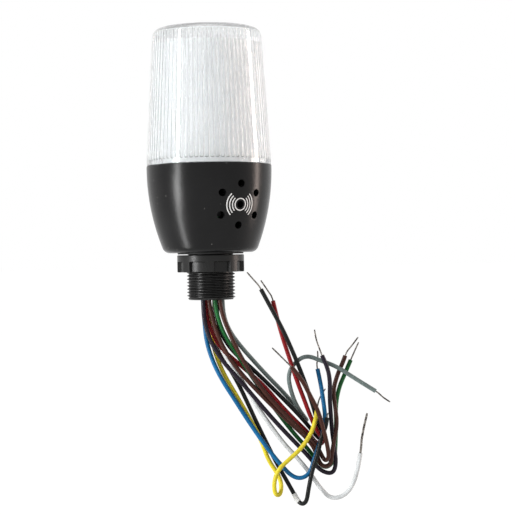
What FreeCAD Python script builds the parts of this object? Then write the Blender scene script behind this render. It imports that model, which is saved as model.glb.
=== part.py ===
"""Stack light: a clear ribbed lens on a black sounder housing, fixed in a panel hole by its threaded stem.

+Z is up and along the axis, -Y is the front, and the origin is on the axis in the plane of the
housing's foot, which sits on the panel once the gasket is squeezed. Millimetres and degrees.
"""
import FreeCAD, Part
import math
import os

import Sketcher

# Driving dimensions: alias, value, what it is.
SIZES = [
    ("stem_bore", 7.0, "radius of the bore that the leads leave by"),
    ("thread_radius", 11.0, "crests of the M22 x 1.5 thread"),
    ("thread_pitch", 1.5, "rise of the thread in one turn"),
    ("thread_chamfer", 1.0, "lead-in at the free end of the thread"),
    ("stem_length", 21.4, "foot of the housing to the free end of the stem"),
    ("neck_depth", 0.8, "depth of the run-out of the thread above the nut"),
    ("neck_top", 0.4, "top of the run-out, below the foot of the housing"),
    ("neck_bottom", 2.0, "first full turn of thread, below the foot of the housing"),
    ("neck_slope", 0.4, "height of the cone at each end of the run-out"),
    ("flange_lip", 1.7, "how far the stem's flange reaches past the hole in the housing"),
    ("flange_thick", 2.4, "thickness of that flange"),
    ("stem_gap", 0.1, "play of the stem in the floor of the housing"),
    ("gasket_width", 3.7, "width of the panel gasket's ring"),
    ("gasket_thick", 1.6, "thickness of the panel gasket"),
    ("gasket_proud", 0.6, "how far the gasket stands out of its recess, below the foot"),
    ("gasket_play", 0.3, "play round the gasket, inside and outside"),
    ("nut_wall", 4.2, "wall of the lock nut, lugs included"),
    ("nut_height", 7.8, "height of the lock nut"),
    ("nut_collar", 3.1, "plain collar above the lugs"),
    ("nut_lug_angle", 16.5, "width of one lug"),
    ("nut_lugs", 8, "number of lugs"),
    ("nut_recess", 1.4, "depth of the recess between two lugs"),
    ("nut_edge", 0.4, "rounding of the rims of the nut"),
    ("nut_lead_in", 0.8, "chamfer at both ends of the nut's bore"),
    ("nut_gap", 0.4, "space between gasket and nut"),
    ("nut_running", 0.05, "radial clearance of the nut on the thread"),
    ("foot_radius", 20.9, "where the side would meet the foot of the housing"),
    ("foot_round", 3.7, "rounding of that edge"),
    ("rim_radius", 28.5, "outside of the housing and the lens where they meet"),
    ("rim_level", 39.7, "height of that joint"),
    ("side_radius", 100.0, "bulge of the side of the housing"),
    ("housing_wall", 3.1, "wall of the housing"),
    ("housing_floor", 2.5, "floor of the housing above the gasket recess"),
    ("foot_fill", 1.1, "extra width inside the foot, where the wall meets the floor"),
    ("rim_fill", 0.35, "extra wall under the seat"),
    ("rim_land", 2.1, "width of the rim that the lens sits on"),
    ("seat_depth", 5.0, "depth of the seat below the rim"),
    ("sound_azimuth", 30.0, "direction of the sound holes, from the front to the right"),
    ("sound_tilt", 10.0, "tilt of the sound holes, square to the side"),
    ("sound_drop", 17.6, "middle sound hole below the rim"),
    ("sound_ring", 9.6, "radius of the ring of sound holes"),
    ("sound_hole", 1.7, "radius of a hole in the ring"),
    ("sound_middle", 1.45, "radius of the middle hole"),
    ("sound_count", 6, "holes in the ring"),
    ("lens_top", 101.9, "top of the lens"),
    ("lens_top_radius", 24.75, "where the side would meet the top of the lens"),
    ("lens_round", 3.7, "outer rounding of the top edge"),
    ("lens_wall", 2.2, "wall of the lens between the flutes"),
    ("lens_spigot", 2.0, "thickness of the spigot that enters the housing"),
    ("lens_play", 0.2, "play of the spigot in the housing"),
    ("rib_start", 2.3, "where the flutes begin, above the rim of the housing"),
    ("rib_end", 4.6, "distance of the upper ends of the flutes below the top"),
    ("rib_depth", 0.7, "depth of one flute"),
    ("rib_share", 0.78, "width of a flute as a share of its pitch"),
    ("rib_count", 72, "number of flutes"),
    ("seal_thick", 1.0, "lens seal"),
    ("carrier_rim", 1.2, "rim of the carrier, clamped under the seal"),
    ("carrier_rise", 0.9, "top of the carrier's deck above the rim of the housing"),
    ("carrier_play", 1.2, "space between the deck and the spigot of the lens"),
    ("carrier_thick", 1.4, "thickness of the deck"),
    ("diffuser_inset", 2.0, "edge of the deck to the outside of the diffuser"),
    ("diffuser_taper", 2.0, "how much the diffuser narrows up to its top"),
    ("diffuser_gap", 4.3, "space between the tops of diffuser and lens"),
    ("diffuser_wall", 1.2, "wall of the diffuser"),
    ("board_thick", 1.6, "both circuit boards"),
    ("board_level", 14.4, "underside of the driver board"),
    ("board_play", 2.75, "space between the driver board and the wall of the housing"),
    ("post_gap", 0.8, "space between a board post and the stem's flange"),
    ("post_radius", 2.4, "one board post"),
    ("post_count", 3, "number of board posts"),
    ("screw_radius", 1.0, "shank of a board screw"),
    ("screw_head", 1.9, "head of a board screw"),
    ("screw_head_high", 1.4, "height of that head"),
    ("screw_length", 7.0, "shank of a board screw"),
    ("screw_gap", 0.02, "play of a screw in its hole"),
    ("led_width", 26.0, "width of the LED board"),
    ("link_high", 13.4, "height of the pin link, which the LED board stands on"),
    ("led_top_gap", 3.8, "space between the LED board and the top of the diffuser"),
    ("led_slot_gap", 0.1, "play of the LED board in its slot"),
    ("led_size", 5.0, "side of one LED"),
    ("led_high", 1.6, "height of one LED"),
    ("led_foot", 5.3, "lowest LEDs above the deck"),
    ("led_margin", 3.5, "highest LEDs below the upper edge of their board"),
    ("led_rows", 5, "rows of LEDs on each face"),
    ("led_column", 7.0, "distance of a column of LEDs from the axis"),
    ("link_offset", 8.0, "distance of the pin link from the axis"),
    ("link_width", 8.0, "width of the pin link"),
    ("buzzer_radius", 10.2, "sounder"),
    ("buzzer_high", 9.5, "height of the sounder"),
    ("buzzer_port", 1.7, "radius of the sound port in its top"),
    ("buzzer_port_depth", 1.55, "depth of that port"),
    ("buzzer_wall_gap", 0.75, "space between sounder and housing wall"),
    ("potting_gap", 0.05, "radial step of the potting inside the bore"),
    ("potting_end", 14.6, "lower face of the potting, below the foot of the housing"),
    ("lead_radius", 1.0, "insulation of a lead"),
    ("strand_radius", 0.36, "bare end of a lead"),
    ("strand_thick", 0.55, "twisted end of the white lead"),
    ("sleeve_radius", 1.25, "marker sleeve on the second black lead"),
    ("sleeve_gap", 0.03, "play of that sleeve on its lead"),
    ("sleeve_length", 4.8, "length of the sleeve"),
]

# Sizes that follow from those: name and formula.
TIES = {
    "neck_radius": "thread_radius - neck_depth",
    "flange_radius": "thread_radius + stem_gap + flange_lip",
    "recess_top": "gasket_thick - gasket_proud",
    "floor_top": "gasket_thick - gasket_proud + housing_floor",
    "gasket_outer": "thread_radius + gasket_play + gasket_width",
    "nut_top": "-gasket_proud - nut_gap",
    "nut_bore": "thread_radius + nut_running",
    "nut_radius": "thread_radius + nut_running + nut_wall",
    "seat_level": "rim_level - seat_depth",
    "foot_inside": "foot_radius - housing_wall + foot_fill",
    "seat_inside": "rim_radius - housing_wall - rim_fill",
    "spigot_outer": "rim_radius - rim_land - lens_play",
    "spigot_inner": "rim_radius - rim_land - lens_play - lens_spigot",
    "rib_base": "rim_level + rib_start",
    "carrier_level": "rim_level + carrier_rise",
    "carrier_deck": "rim_radius - rim_land - lens_play - lens_spigot - carrier_play",
    "diffuser_radius": "carrier_deck - diffuser_inset",
    "diffuser_top_radius": "carrier_deck - diffuser_inset - diffuser_taper",
    "diffuser_level": "lens_top - lens_wall - diffuser_gap",
    "board_top": "board_level + board_thick",
    "post_ring": "flange_radius + post_radius + post_gap",
    "led_bottom": "board_level + board_thick + link_high",
    "led_top": "diffuser_level - diffuser_wall - led_top_gap",
    "led_first": "carrier_level + led_foot + led_size / 2",
    "led_last": "led_top - led_margin - led_size / 2",
}

# Routes of the eleven leads, chosen by hand: from the potting in the stem to the end of the insulation.
LEADS = {
    "lead_violet": [
        (-3.7, -3.4, -14.6), (-3.7, -3.4, -22.6), (-3.3, -3.5, -31.5), (-0.5, -3.5, -40.8),
        (4.9, -3.4, -49.7), (12.0, -3.2, -57.8), (19.4, -2.9, -66.8), (27.0, -1.9, -76.1),
        (35.3, -0.2, -85.4), (43.1, 1.4, -93.8), (48.4, 3.0, -100.9), (54.2, 3.0, -102.6),
        (55.9, 2.6, -97.6), (55.0, 2.4, -89.6), (54.1, 2.0, -82.6), (53.7, 1.0, -75.6),
        (53.2, -0.6, -67.5), (53.5, -1.4, -59.1), (52.3, -1.6, -52.7), (50.0, -1.6, -47.7),
    ],
    "lead_black": [
        (2.5, -1.2, -14.6), (2.5, -1.2, -22.1), (2.6, -0.8, -30.1), (4.5, 0.4, -38.2),
        (9.8, 1.6, -46.0), (16.9, 2.2, -52.3), (23.9, 2.4, -59.2), (31.6, 1.6, -67.0),
        (39.1, 1.4, -74.9), (44.0, 3.8, -81.0), (48.6, 9.1, -87.5), (52.3, 5.8, -87.1),
        (48.2, 3.4, -81.1), (46.0, 1.0, -72.4), (43.1, -1.2, -62.8), (39.6, -2.6, -53.1),
        (36.0, -3.6, -44.0), (32.0, -3.9, -34.8), (27.1, -3.9, -25.5), (22.7, -3.9, -17.0),
    ],
    "lead_red": [
        (-2.5, -1.2, -14.6), (-2.5, -1.2, -22.6), (-2.1, -1.2, -30.1), (0.4, -1.2, -37.4),
        (4.4, -0.5, -44.1), (10.3, 1.0, -49.6), (16.8, 1.5, -55.3), (23.9, 0.8, -61.8),
        (30.5, -0.4, -69.9), (37.8, 1.0, -77.9), (43.1, 3.4, -83.2), (47.2, 6.4, -89.0),
        (50.6, 3.2, -88.3), (47.1, 1.4, -82.0), (44.3, 0.8, -75.6), (41.6, 0.0, -67.9),
        (38.3, -0.8, -58.9), (35.3, -1.2, -49.2), (32.3, -1.4, -39.6), (29.8, -1.5, -30.3),
        (28.1, -1.6, -22.4),
    ],
    "lead_brown_1": [
        (-1.2, -3.7, -14.6), (-1.1, -3.7, -22.6), (0.6, -3.7, -30.6), (3.1, -3.6, -39.1),
        (7.3, -3.5, -47.1), (12.8, -3.2, -55.0), (19.7, -2.8, -62.6), (27.5, -2.0, -70.9),
        (35.2, 0.0, -78.6), (42.3, 2.6, -85.4), (46.4, 3.4, -91.0), (48.6, 0.9, -98.7),
        (53.1, -0.2, -98.2), (53.7, -0.2, -93.2), (54.9, -0.7, -86.8), (56.4, -1.2, -79.0),
        (55.7, 0.8, -71.0), (54.9, 2.1, -64.0), (57.2, 3.0, -56.6), (59.7, 3.5, -51.5),
        (60.9, 3.5, -48.3),
    ],
    "lead_brown_2": [
        (3.7, -3.4, -14.6), (3.8, -3.4, -22.1), (5.4, -3.5, -29.9), (8.7, -3.6, -38.0),
        (12.7, -3.6, -47.0), (18.0, -3.7, -55.9), (24.2, -3.9, -64.8), (32.3, -3.6, -73.6),
        (40.1, -2.0, -81.7), (45.9, 0.8, -87.0), (48.7, 1.0, -92.5), (50.5, 0.0, -96.1),
        (52.4, -3.6, -94.3), (51.6, -5.2, -88.3), (50.0, -6.0, -81.1), (47.7, -6.1, -72.5),
        (43.8, -6.1, -64.8), (40.2, -6.1, -57.5), (35.9, -6.1, -52.4),
    ],
    "lead_green": [
        (1.4, -3.7, -14.6), (1.5, -3.7, -22.6), (3.3, -3.2, -31.3), (6.1, -2.2, -38.5),
        (10.8, -1.4, -45.8), (16.8, -1.3, -55.1), (23.2, -0.4, -65.0), (29.7, 1.2, -74.1),
        (36.3, 2.2, -83.1), (42.8, 3.6, -90.6), (47.1, 5.2, -96.4), (51.2, 5.6, -100.5),
        (55.3, 5.2, -96.6), (55.8, 4.8, -88.6), (56.2, 4.0, -79.6), (56.1, 4.0, -71.2),
        (57.7, 4.6, -63.2), (60.8, 5.4, -56.5), (63.5, 5.8, -50.5),
    ],
    "lead_yellow": [
        (-1.4, 1.3, -14.6), (-1.4, 1.3, -22.6), (-1.2, 1.3, -31.6), (-0.1, 1.3, -39.8),
        (1.9, 1.2, -48.2), (5.8, 1.0, -57.1), (11.2, 0.8, -66.4), (16.8, 0.6, -76.5),
        (21.7, 0.2, -86.2), (24.7, 0.0, -95.3), (29.6, -0.6, -102.5), (32.7, -1.8, -108.8),
        (31.0, -3.0, -113.8), (27.2, -4.4, -112.7), (26.8, -5.2, -106.7), (28.8, -5.5, -99.7),
        (33.9, -5.2, -94.6), (40.0, -4.9, -89.3), (44.9, -4.4, -82.0), (46.7, -3.2, -75.6),
        (47.4, -2.0, -71.8),
    ],
    "lead_blue": [
        (-4.3, 1.0, -14.6), (-4.3, 1.0, -22.6), (-4.0, 0.8, -31.5), (-2.8, 0.2, -40.6),
        (0.1, -0.4, -49.6), (4.3, -0.9, -58.3), (10.0, -1.2, -67.4), (16.0, -1.8, -77.1),
        (22.6, -2.5, -87.0), (29.3, -2.8, -95.9), (36.6, -2.4, -103.9), (43.4, -1.8, -102.4),
        (46.1, -1.5, -93.2), (49.3, -1.2, -84.9), (51.2, -0.8, -76.7), (50.2, 0.2, -67.5),
        (49.2, 1.6, -60.1), (48.0, 2.6, -54.1),
    ],
    "lead_black_2": [
        (-1.6, 3.8, -14.6), (-1.6, 3.8, -22.6), (-1.0, 4.1, -31.6), (1.4, 4.6, -40.6),
        (5.5, 4.3, -49.7), (10.7, 2.8, -58.4), (15.0, 2.0, -67.5), (19.6, 1.9, -78.0),
        (24.2, 1.9, -87.8), (28.5, 1.7, -96.9), (34.9, 1.1, -108.4), (39.8, 0.0, -117.1),
        (43.3, -3.2, -115.8), (44.1, -3.7, -108.4), (45.4, -3.9, -99.8), (47.4, -3.9, -91.7),
        (49.1, -3.6, -84.1), (51.4, -3.4, -79.5), (51.7, -3.3, -75.9),
    ],
    "lead_white": [
        (1.3, 1.3, -14.6), (1.3, 1.3, -22.6), (1.2, 1.6, -31.6), (2.3, 2.2, -39.8),
        (5.5, 2.4, -47.1), (10.2, 0.8, -54.2), (14.9, -0.5, -61.1), (19.5, -0.2, -69.8),
        (25.8, 0.6, -79.3), (32.0, 1.0, -88.0), (38.3, 1.6, -94.9), (43.8, 2.0, -101.8),
        (48.3, 2.0, -108.7), (53.4, 1.6, -114.0), (60.6, 1.2, -111.7), (65.2, 1.0, -103.4),
        (66.9, 1.0, -92.8),
    ],
    "lead_grey": [
        (5.0, -0.9, -14.6), (5.0, -0.9, -21.6), (5.5, -0.6, -29.2), (8.1, 0.6, -36.3),
        (13.2, 1.8, -43.4), (19.1, 2.6, -50.3), (25.2, 3.6, -57.3), (31.5, 5.4, -64.0),
        (36.9, 8.2, -70.5), (42.4, 9.6, -77.4), (43.0, 4.9, -78.2), (38.1, 3.4, -71.1),
        (35.5, 2.0, -63.6), (34.4, 1.5, -56.6), (37.3, 1.6, -51.1), (42.9, 1.4, -47.6),
        (49.7, 1.2, -50.3), (56.7, 0.6, -53.0), (65.2, 0.6, -58.8), (74.3, 0.8, -64.6),
    ],
}

# Bare ends of the same leads: from the end of the insulation to the tip.
STRANDS = {
    "strands_violet": [(50.0, -1.6, -47.7), (48.4, -1.6, -43.3), (47.2, -1.6, -39.4), (46.8, -1.6, -35.9)],
    "strands_black": [(22.7, -3.9, -17.0), (21.9, -3.9, -15.4), (19.7, -4.0, -13.0), (16.5, -4.2, -9.2)],
    "strands_red": [(28.1, -1.6, -22.4), (27.7, -1.6, -20.6), (26.1, -1.6, -18.2), (22.7, -1.7, -13.0)],
    "strands_brown_1": [
        (60.9, 3.5, -48.3), (61.5, 3.5, -46.6), (63.0, 3.6, -44.9), (65.0, 3.6, -42.5), (67.0, 3.6, -39.9),
    ],
    "strands_brown_2": [(35.9, -6.1, -52.4), (31.9, -6.0, -48.2), (27.3, -6.0, -43.6)],
    "strands_green": [(63.5, 5.8, -50.5), (65.2, 6.0, -46.7), (67.3, 6.1, -42.4)],
    "strands_yellow": [
        (47.4, -2.0, -71.8), (47.7, -1.5, -70.1), (48.2, 0.0, -68.4), (49.2, 2.0, -66.6),
        (50.4, 2.9, -64.8), (51.5, 3.1, -63.3),
    ],
    "strands_blue": [
        (48.0, 2.6, -54.1), (47.7, 2.9, -52.4), (48.0, 3.4, -50.4), (48.4, 3.6, -48.2), (48.2, 3.6, -45.9),
    ],
    "strands_black_2": [(51.7, -3.3, -75.9), (51.8, -3.3, -74.8), (52.3, -3.2, -73.7)],
    "strands_white": [(66.9, 1.0, -92.8), (67.2, 1.0, -91.0), (67.7, 1.0, -84.8), (70.3, 1.0, -74.6)],
    "strands_grey": [
        (74.3, 0.8, -64.6), (75.8, 0.8, -65.6), (76.9, 0.8, -66.8), (78.6, 0.8, -68.2), (80.9, 0.8, -69.7),
    ],
}

# The run of its lead that the marker sleeve is on, counted from the potting.
SLEEVE_LEAD = "lead_black_2"
SLEEVE_RUN = 10

doc = FreeCAD.newDocument("StackLight")


def make_sheet():
    """Fill the spreadsheet with the driving dimensions and those that follow, one alias a row."""
    sheet = doc.addObject("Spreadsheet::Sheet", "Sizes")
    rows = [(alias, str(number), meaning) for alias, number, meaning in SIZES]
    rows += [(alias, f"={formula}", "follows") for alias, formula in TIES.items()]
    for row, (alias, entry, meaning) in enumerate(rows, start=1):
        sheet.set(f"A{row}", alias)
        sheet.set(f"B{row}", entry)
        sheet.set(f"C{row}", meaning)
        sheet.setAlias(f"B{row}", alias)
    doc.recompute()
    return sheet


sizes = make_sheet()
ALIASES = {alias for alias, number, meaning in SIZES} | set(TIES)


def sized(formula):
    """Write a formula of aliases, such as 'rim_level - seal_thick', as an expression on the sheet."""
    words = []
    word = ""
    for letter in formula + " ":
        if letter.isalnum() or letter == "_":
            word += letter
            continue
        if word in ALIASES:
            word = "Sizes." + word
        words.append(word + letter)
        word = ""
    return "".join(words).strip()


def value(formula):
    """Work out a formula of aliases as a number."""
    return float(sizes.evalExpression(sized(formula)))


def new_body(name):
    body = doc.addObject("PartDesign::Body", name)
    body.Label = name
    return body


def origin_part(body, role):
    """An origin plane or axis of a body, by its role."""
    return [part for part in body.Origin.OriginFeatures if part.Role == role][0]


def new_sketch(body, name, role="XY_Plane", offset=None):
    """A sketch on one of its body's origin planes, with an optional placement formula on that plane."""
    sketch = body.newObject("Sketcher::SketchObject", name)
    sketch.AttachmentSupport = [(origin_part(body, role), "")]
    sketch.MapMode = "FlatFace"
    if offset:
        sketch.setExpression("AttachmentOffset", sized(offset))
    return sketch


def at_level(level):
    """Placement formula of a level plane at a height."""
    return f"placement(vector(0; 0; {level}); rotation(vector(0; 0; 1); 0))"


def bound(sketch, constraint, formula):
    """Add a constraint whose size follows a formula of the sheet."""
    index = sketch.addConstraint(constraint)
    sketch.setExpression(f"Constraints[{index}]", sized(formula))


def arc_through(start, end, radius):
    """An arc that turns left from start to end when radius is positive, and right when it is negative."""
    chord = end - start
    half = chord.Length / 2
    side = FreeCAD.Vector(-chord.y, chord.x, 0).normalize()
    rise = math.sqrt(radius * radius - half * half)
    centre = (start + end) / 2 + side * math.copysign(rise, radius)
    first, last = (start, end) if radius > 0 else (end, start)
    angles = [math.atan2(point.y - centre.y, point.x - centre.x) for point in (first, last)]
    circle = Part.Circle(centre, FreeCAD.Vector(0, 0, 1), abs(radius))
    return Part.ArcOfCircle(circle, angles[0], angles[1])


def outline(sketch, corners):
    """Draw a closed outline. A corner is (across, up) or (across, up, radius of the arc that follows it)."""
    points = [FreeCAD.Vector(value(corner[0]), value(corner[1]), 0) for corner in corners]
    starts = []
    ends = []
    for index, corner in enumerate(corners):
        start = points[index]
        end = points[(index + 1) % len(points)]
        if len(corner) == 2:
            edge = sketch.addGeometry(Part.LineSegment(start, end), False)
            turn_left = True
        else:
            radius = value(corner[2])
            edge = sketch.addGeometry(arc_through(start, end, radius), False)
            bound(sketch, Sketcher.Constraint("Radius", edge, abs(radius)), f"abs({corner[2]})")
            turn_left = radius > 0
        starts.append((edge, 1 if turn_left else 2))
        ends.append((edge, 2 if turn_left else 1))
    for index, corner in enumerate(corners):
        before = ends[index - 1]
        edge, side = starts[index]
        sketch.addConstraint(Sketcher.Constraint("Coincident", before[0], before[1], edge, side))
        across = Sketcher.Constraint("DistanceX", -1, 1, edge, side, points[index].x)
        bound(sketch, across, corner[0])
        up = Sketcher.Constraint("DistanceY", -1, 1, edge, side, points[index].y)
        bound(sketch, up, corner[1])


def add_circle(sketch, across, up, radius):
    """Draw a circle whose centre and radius follow formulas of the sheet."""
    centre = FreeCAD.Vector(value(across), value(up), 0)
    circle = Part.Circle(centre, FreeCAD.Vector(0, 0, 1), value(radius))
    index = sketch.addGeometry(circle, False)
    bound(sketch, Sketcher.Constraint("Radius", index, value(radius)), radius)
    bound(sketch, Sketcher.Constraint("DistanceX", -1, 1, index, 3, centre.x), across)
    bound(sketch, Sketcher.Constraint("DistanceY", -1, 1, index, 3, centre.y), up)


def revolve(body, name, corners):
    """Turn an outline of (radius, height) corners round the axis of the body."""
    sketch = new_sketch(body, name + "_profile", "XZ_Plane")
    outline(sketch, corners)
    feature = body.newObject("PartDesign::Revolution", name)
    feature.Profile = sketch
    feature.ReferenceAxis = (sketch, ["V_Axis"])
    feature.Angle = 360
    return feature


def pad(body, name, sketch, length):
    feature = body.newObject("PartDesign::Pad", name)
    feature.Profile = sketch
    feature.setExpression("Length", sized(length))
    return feature


def pocket(body, name, sketch, length):
    """Cut a sketch away, against its normal."""
    feature = body.newObject("PartDesign::Pocket", name)
    feature.Profile = sketch
    feature.setExpression("Length", sized(length))
    return feature


def repeat_round(body, feature, count, axis=None):
    """Repeat a feature evenly round an axis, the body's own one unless another is given."""
    pattern = body.newObject("PartDesign::PolarPattern", feature.Name + "_ring")
    pattern.Originals = [feature]
    pattern.Axis = axis or (origin_part(body, "Z_Axis"), [""])
    pattern.Angle = 360
    pattern.setExpression("Occurrences", sized(count))
    body.Tip = pattern
    return pattern


def ring_edges(shape, radius, level):
    """Names of the circular edges of a shape at a radius and a height."""
    names = []
    for index, edge in enumerate(shape.Edges, start=1):
        if not isinstance(edge.Curve, Part.Circle):
            continue
        centre = edge.Curve.Center
        on_axis = math.hypot(centre.x, centre.y) < 0.01
        if on_axis and abs(centre.z - level) < 0.01 and abs(edge.Curve.Radius - radius) < 0.01:
            names.append(f"Edge{index}")
    return names


def round_rings(body, name, base, rings, radius):
    """Fillet the circular edges given as (radius, height) formulas."""
    doc.recompute()
    names = []
    for across, level in rings:
        names += ring_edges(base.Shape, value(across), value(level))
    feature = body.newObject("PartDesign::Fillet", name)
    feature.Base = (base, names)
    feature.setExpression("Radius", sized(radius))
    body.Tip = feature
    return feature


def make_housing():
    """Moulded cup with a bulging side, a gasket recess, board posts and a ring of sound holes."""
    body = new_body("housing")
    cup = revolve(body, "housing_cup", [
        ("thread_radius + stem_gap", "recess_top"),
        ("gasket_outer + gasket_play", "recess_top"),
        ("gasket_outer + gasket_play", "0"),
        ("foot_radius", "0", "side_radius"),
        ("rim_radius", "rim_level"),
        ("rim_radius - rim_land", "rim_level"),
        ("rim_radius - rim_land", "seat_level"),
        ("seat_inside", "seat_level", "housing_wall - side_radius"),
        ("foot_inside", "floor_top"),
        ("thread_radius + stem_gap", "floor_top"),
    ])
    land = "foot_radius - gasket_outer - gasket_play"
    round_rings(
        body, "housing_foot", cup, [("foot_radius", "0")], f"min(foot_round; {land} - 0.2)")
    post_sketch = new_sketch(body, "housing_post_sketch", "XY_Plane", at_level("floor_top"))
    add_circle(post_sketch, "post_ring", "0", "post_radius")
    post = pad(body, "housing_post", post_sketch, "board_level - floor_top")
    repeat_round(body, post, "post_count")
    hole_sketch = new_sketch(body, "housing_post_hole_sketch", "XY_Plane", at_level("board_level"))
    add_circle(hole_sketch, "post_ring", "0", "screw_radius + screw_gap")
    hole = pocket(body, "housing_post_hole", hole_sketch, "screw_length")
    repeat_round(body, hole, "post_count")
    make_sound_holes(body)
    return body


def make_sound_holes(body):
    """One middle hole and a ring of six round it, square to the side of the housing."""
    facing = (
        "placement(vector(0; rim_level - sound_drop; 0); rotation(vector(0; 1; 0); sound_azimuth))"
        " * placement(vector(0; 0; 0); rotation(vector(1; 0; 0); sound_tilt))"
        " * placement(vector(0; 0; rim_radius + 2); rotation(vector(0; 0; 1); 0))"
    )
    reach = "2 + 3 * housing_wall"
    middle_sketch = new_sketch(body, "sound_middle_sketch", "XZ_Plane", facing)
    add_circle(middle_sketch, "0", "0", "sound_middle")
    pocket(body, "sound_middle_hole", middle_sketch, reach)
    ring_sketch = new_sketch(body, "sound_ring_sketch", "XZ_Plane", facing)
    add_circle(ring_sketch, "0", "sound_ring", "sound_hole")
    hole = pocket(body, "sound_ring_hole", ring_sketch, reach)
    repeat_round(body, hole, "sound_count", (ring_sketch, ["N_Axis"]))


def make_stem():
    """Threaded stem with its flange inside the housing. The thread is drawn at its crests."""
    body = new_body("threaded_stem")
    revolve(body, "stem_turned", [
        ("stem_bore", "-stem_length"),
        ("thread_radius - thread_chamfer", "-stem_length"),
        ("thread_radius", "thread_chamfer - stem_length"),
        ("thread_radius", "-neck_bottom"),
        ("neck_radius", "neck_slope - neck_bottom"),
        ("neck_radius", "-neck_top - neck_slope"),
        ("thread_radius", "-neck_top"),
        ("thread_radius", "floor_top"),
        ("flange_radius", "floor_top"),
        ("flange_radius", "floor_top + flange_thick"),
        ("stem_bore", "floor_top + flange_thick"),
    ])
    return body


def make_gasket():
    """Flat rubber ring between housing and panel."""
    body = new_body("panel_gasket")
    revolve(body, "gasket_ring", [
        ("thread_radius + gasket_play", "-gasket_proud"),
        ("gasket_outer", "-gasket_proud"),
        ("gasket_outer", "recess_top"),
        ("thread_radius + gasket_play", "recess_top"),
    ])
    return body


def make_nut():
    """Lock nut: a plain collar above, lugs for a spanner below, one of them at the front."""
    body = new_body("lock_nut")
    low = "nut_top - nut_height"
    turned = revolve(body, "nut_turned", [
        ("nut_bore", low + " + nut_lead_in"),
        ("nut_bore + nut_lead_in", low),
        ("nut_radius", low),
        ("nut_radius", "nut_top"),
        ("nut_bore + nut_lead_in", "nut_top"),
        ("nut_bore", "nut_top - nut_lead_in"),
    ])
    rings = [("nut_radius", "nut_top"), ("nut_radius", low)]
    round_rings(body, "nut_rims", turned, rings, "nut_edge")
    sketch = new_sketch(body, "nut_recess_sketch", "XY_Plane", at_level("nut_top - nut_collar"))
    first = "(nut_lug_angle / 2)"
    last = "(360 / nut_lugs - nut_lug_angle / 2)"
    inner = "(nut_radius - nut_recess)"
    reach = "(nut_radius + 2)"
    outline(sketch, [
        (f"{inner} * sin{last}", f"{inner} * cos{last}"),
        (f"{reach} * sin{last}", f"{reach} * cos{last}"),
        (f"{reach} * sin{first}", f"{reach} * cos{first}"),
        (f"{inner} * sin{first}", f"{inner} * cos{first}", f"-{inner}"),
    ])
    recess = pocket(body, "nut_recess", sketch, "nut_height")
    repeat_round(body, recess, "nut_lugs")
    return body


def side_of_lens(level):
    """Formula of the lens's outer radius at a height, on its straight taper."""
    rise = f"(({level}) - rim_level) / (lens_top - rim_level)"
    return f"rim_radius - (rim_radius - lens_top_radius) * {rise}"


def make_lens():
    """Clear tapered cup, smooth outside, with vertical flutes cut in its inner wall."""
    body = new_body("lens")
    spigot_low = "seat_level + carrier_rim + seal_thick"
    cup = revolve(body, "lens_cup", [
        ("spigot_inner", spigot_low),
        ("spigot_outer", spigot_low),
        ("spigot_outer", "rim_level"),
        ("rim_radius", "rim_level"),
        ("lens_top_radius", "lens_top"),
        ("0", "lens_top"),
        ("0", "lens_top - lens_wall"),
        (side_of_lens("lens_top - lens_wall") + " - lens_wall", "lens_top - lens_wall"),
        (side_of_lens("rib_base") + " - lens_wall", "rib_base"),
        ("spigot_inner", "rim_level + 0.6"),
    ])
    round_rings(body, "lens_edge", cup, [("lens_top_radius", "lens_top")], "lens_round")
    flute = cut_flute(body)
    repeat_round(body, flute, "rib_count")
    return body


def cut_flute(body):
    """One flute of the lens, tapering with the wall from its foot to its top."""
    sketches = []
    for name, level in (("low", "rib_base"), ("high", "lens_top - rib_end")):
        sketch = new_sketch(body, f"flute_{name}", "XY_Plane", at_level(level))
        wall = f"({side_of_lens(level)} - lens_wall)"
        half = f"{wall} * sin(180 / rib_count * rib_share)"
        outline(sketch, [
            ("0", f"{wall} + rib_depth"),
            (f"-1 * {half}", f"{wall} - 0.3"),
            (half, f"{wall} - 0.3"),
        ])
        sketches.append(sketch)
    flute = body.newObject("PartDesign::SubtractiveLoft", "lens_flute")
    flute.Profile = sketches[0]
    flute.Sections = [sketches[1]]
    flute.Ruled = True
    return flute


def make_lens_seal():
    """Flat seal under the spigot of the lens."""
    body = new_body("lens_seal")
    low = "seat_level + carrier_rim"
    revolve(body, "seal_ring", [
        ("spigot_inner", low),
        ("spigot_outer", low),
        ("spigot_outer", low + " + seal_thick"),
        ("spigot_inner", low + " + seal_thick"),
    ])
    return body


def make_carrier():
    """White deck that closes the housing, holds the diffuser and lets the LED board through."""
    body = new_body("led_carrier")
    revolve(body, "carrier_turned", [
        ("0", "carrier_level - carrier_thick"),
        ("carrier_deck - carrier_thick", "carrier_level - carrier_thick"),
        ("carrier_deck - carrier_thick", "seat_level"),
        ("spigot_outer", "seat_level"),
        ("spigot_outer", "seat_level + carrier_rim"),
        ("carrier_deck", "seat_level + carrier_rim"),
        ("carrier_deck", "carrier_level"),
        ("0", "carrier_level"),
    ])
    sketch = new_sketch(body, "carrier_slot_sketch", "XY_Plane", at_level("carrier_level"))
    across = "led_width / 2 + led_slot_gap"
    deep = "board_thick / 2 + led_slot_gap"
    outline(sketch, [
        (f"-1 * ({across})", f"-1 * ({deep})"),
        (across, f"-1 * ({deep})"),
        (across, deep),
        (f"-1 * ({across})", deep),
    ])
    pocket(body, "carrier_slot", sketch, "2 * carrier_thick")
    return body


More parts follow.
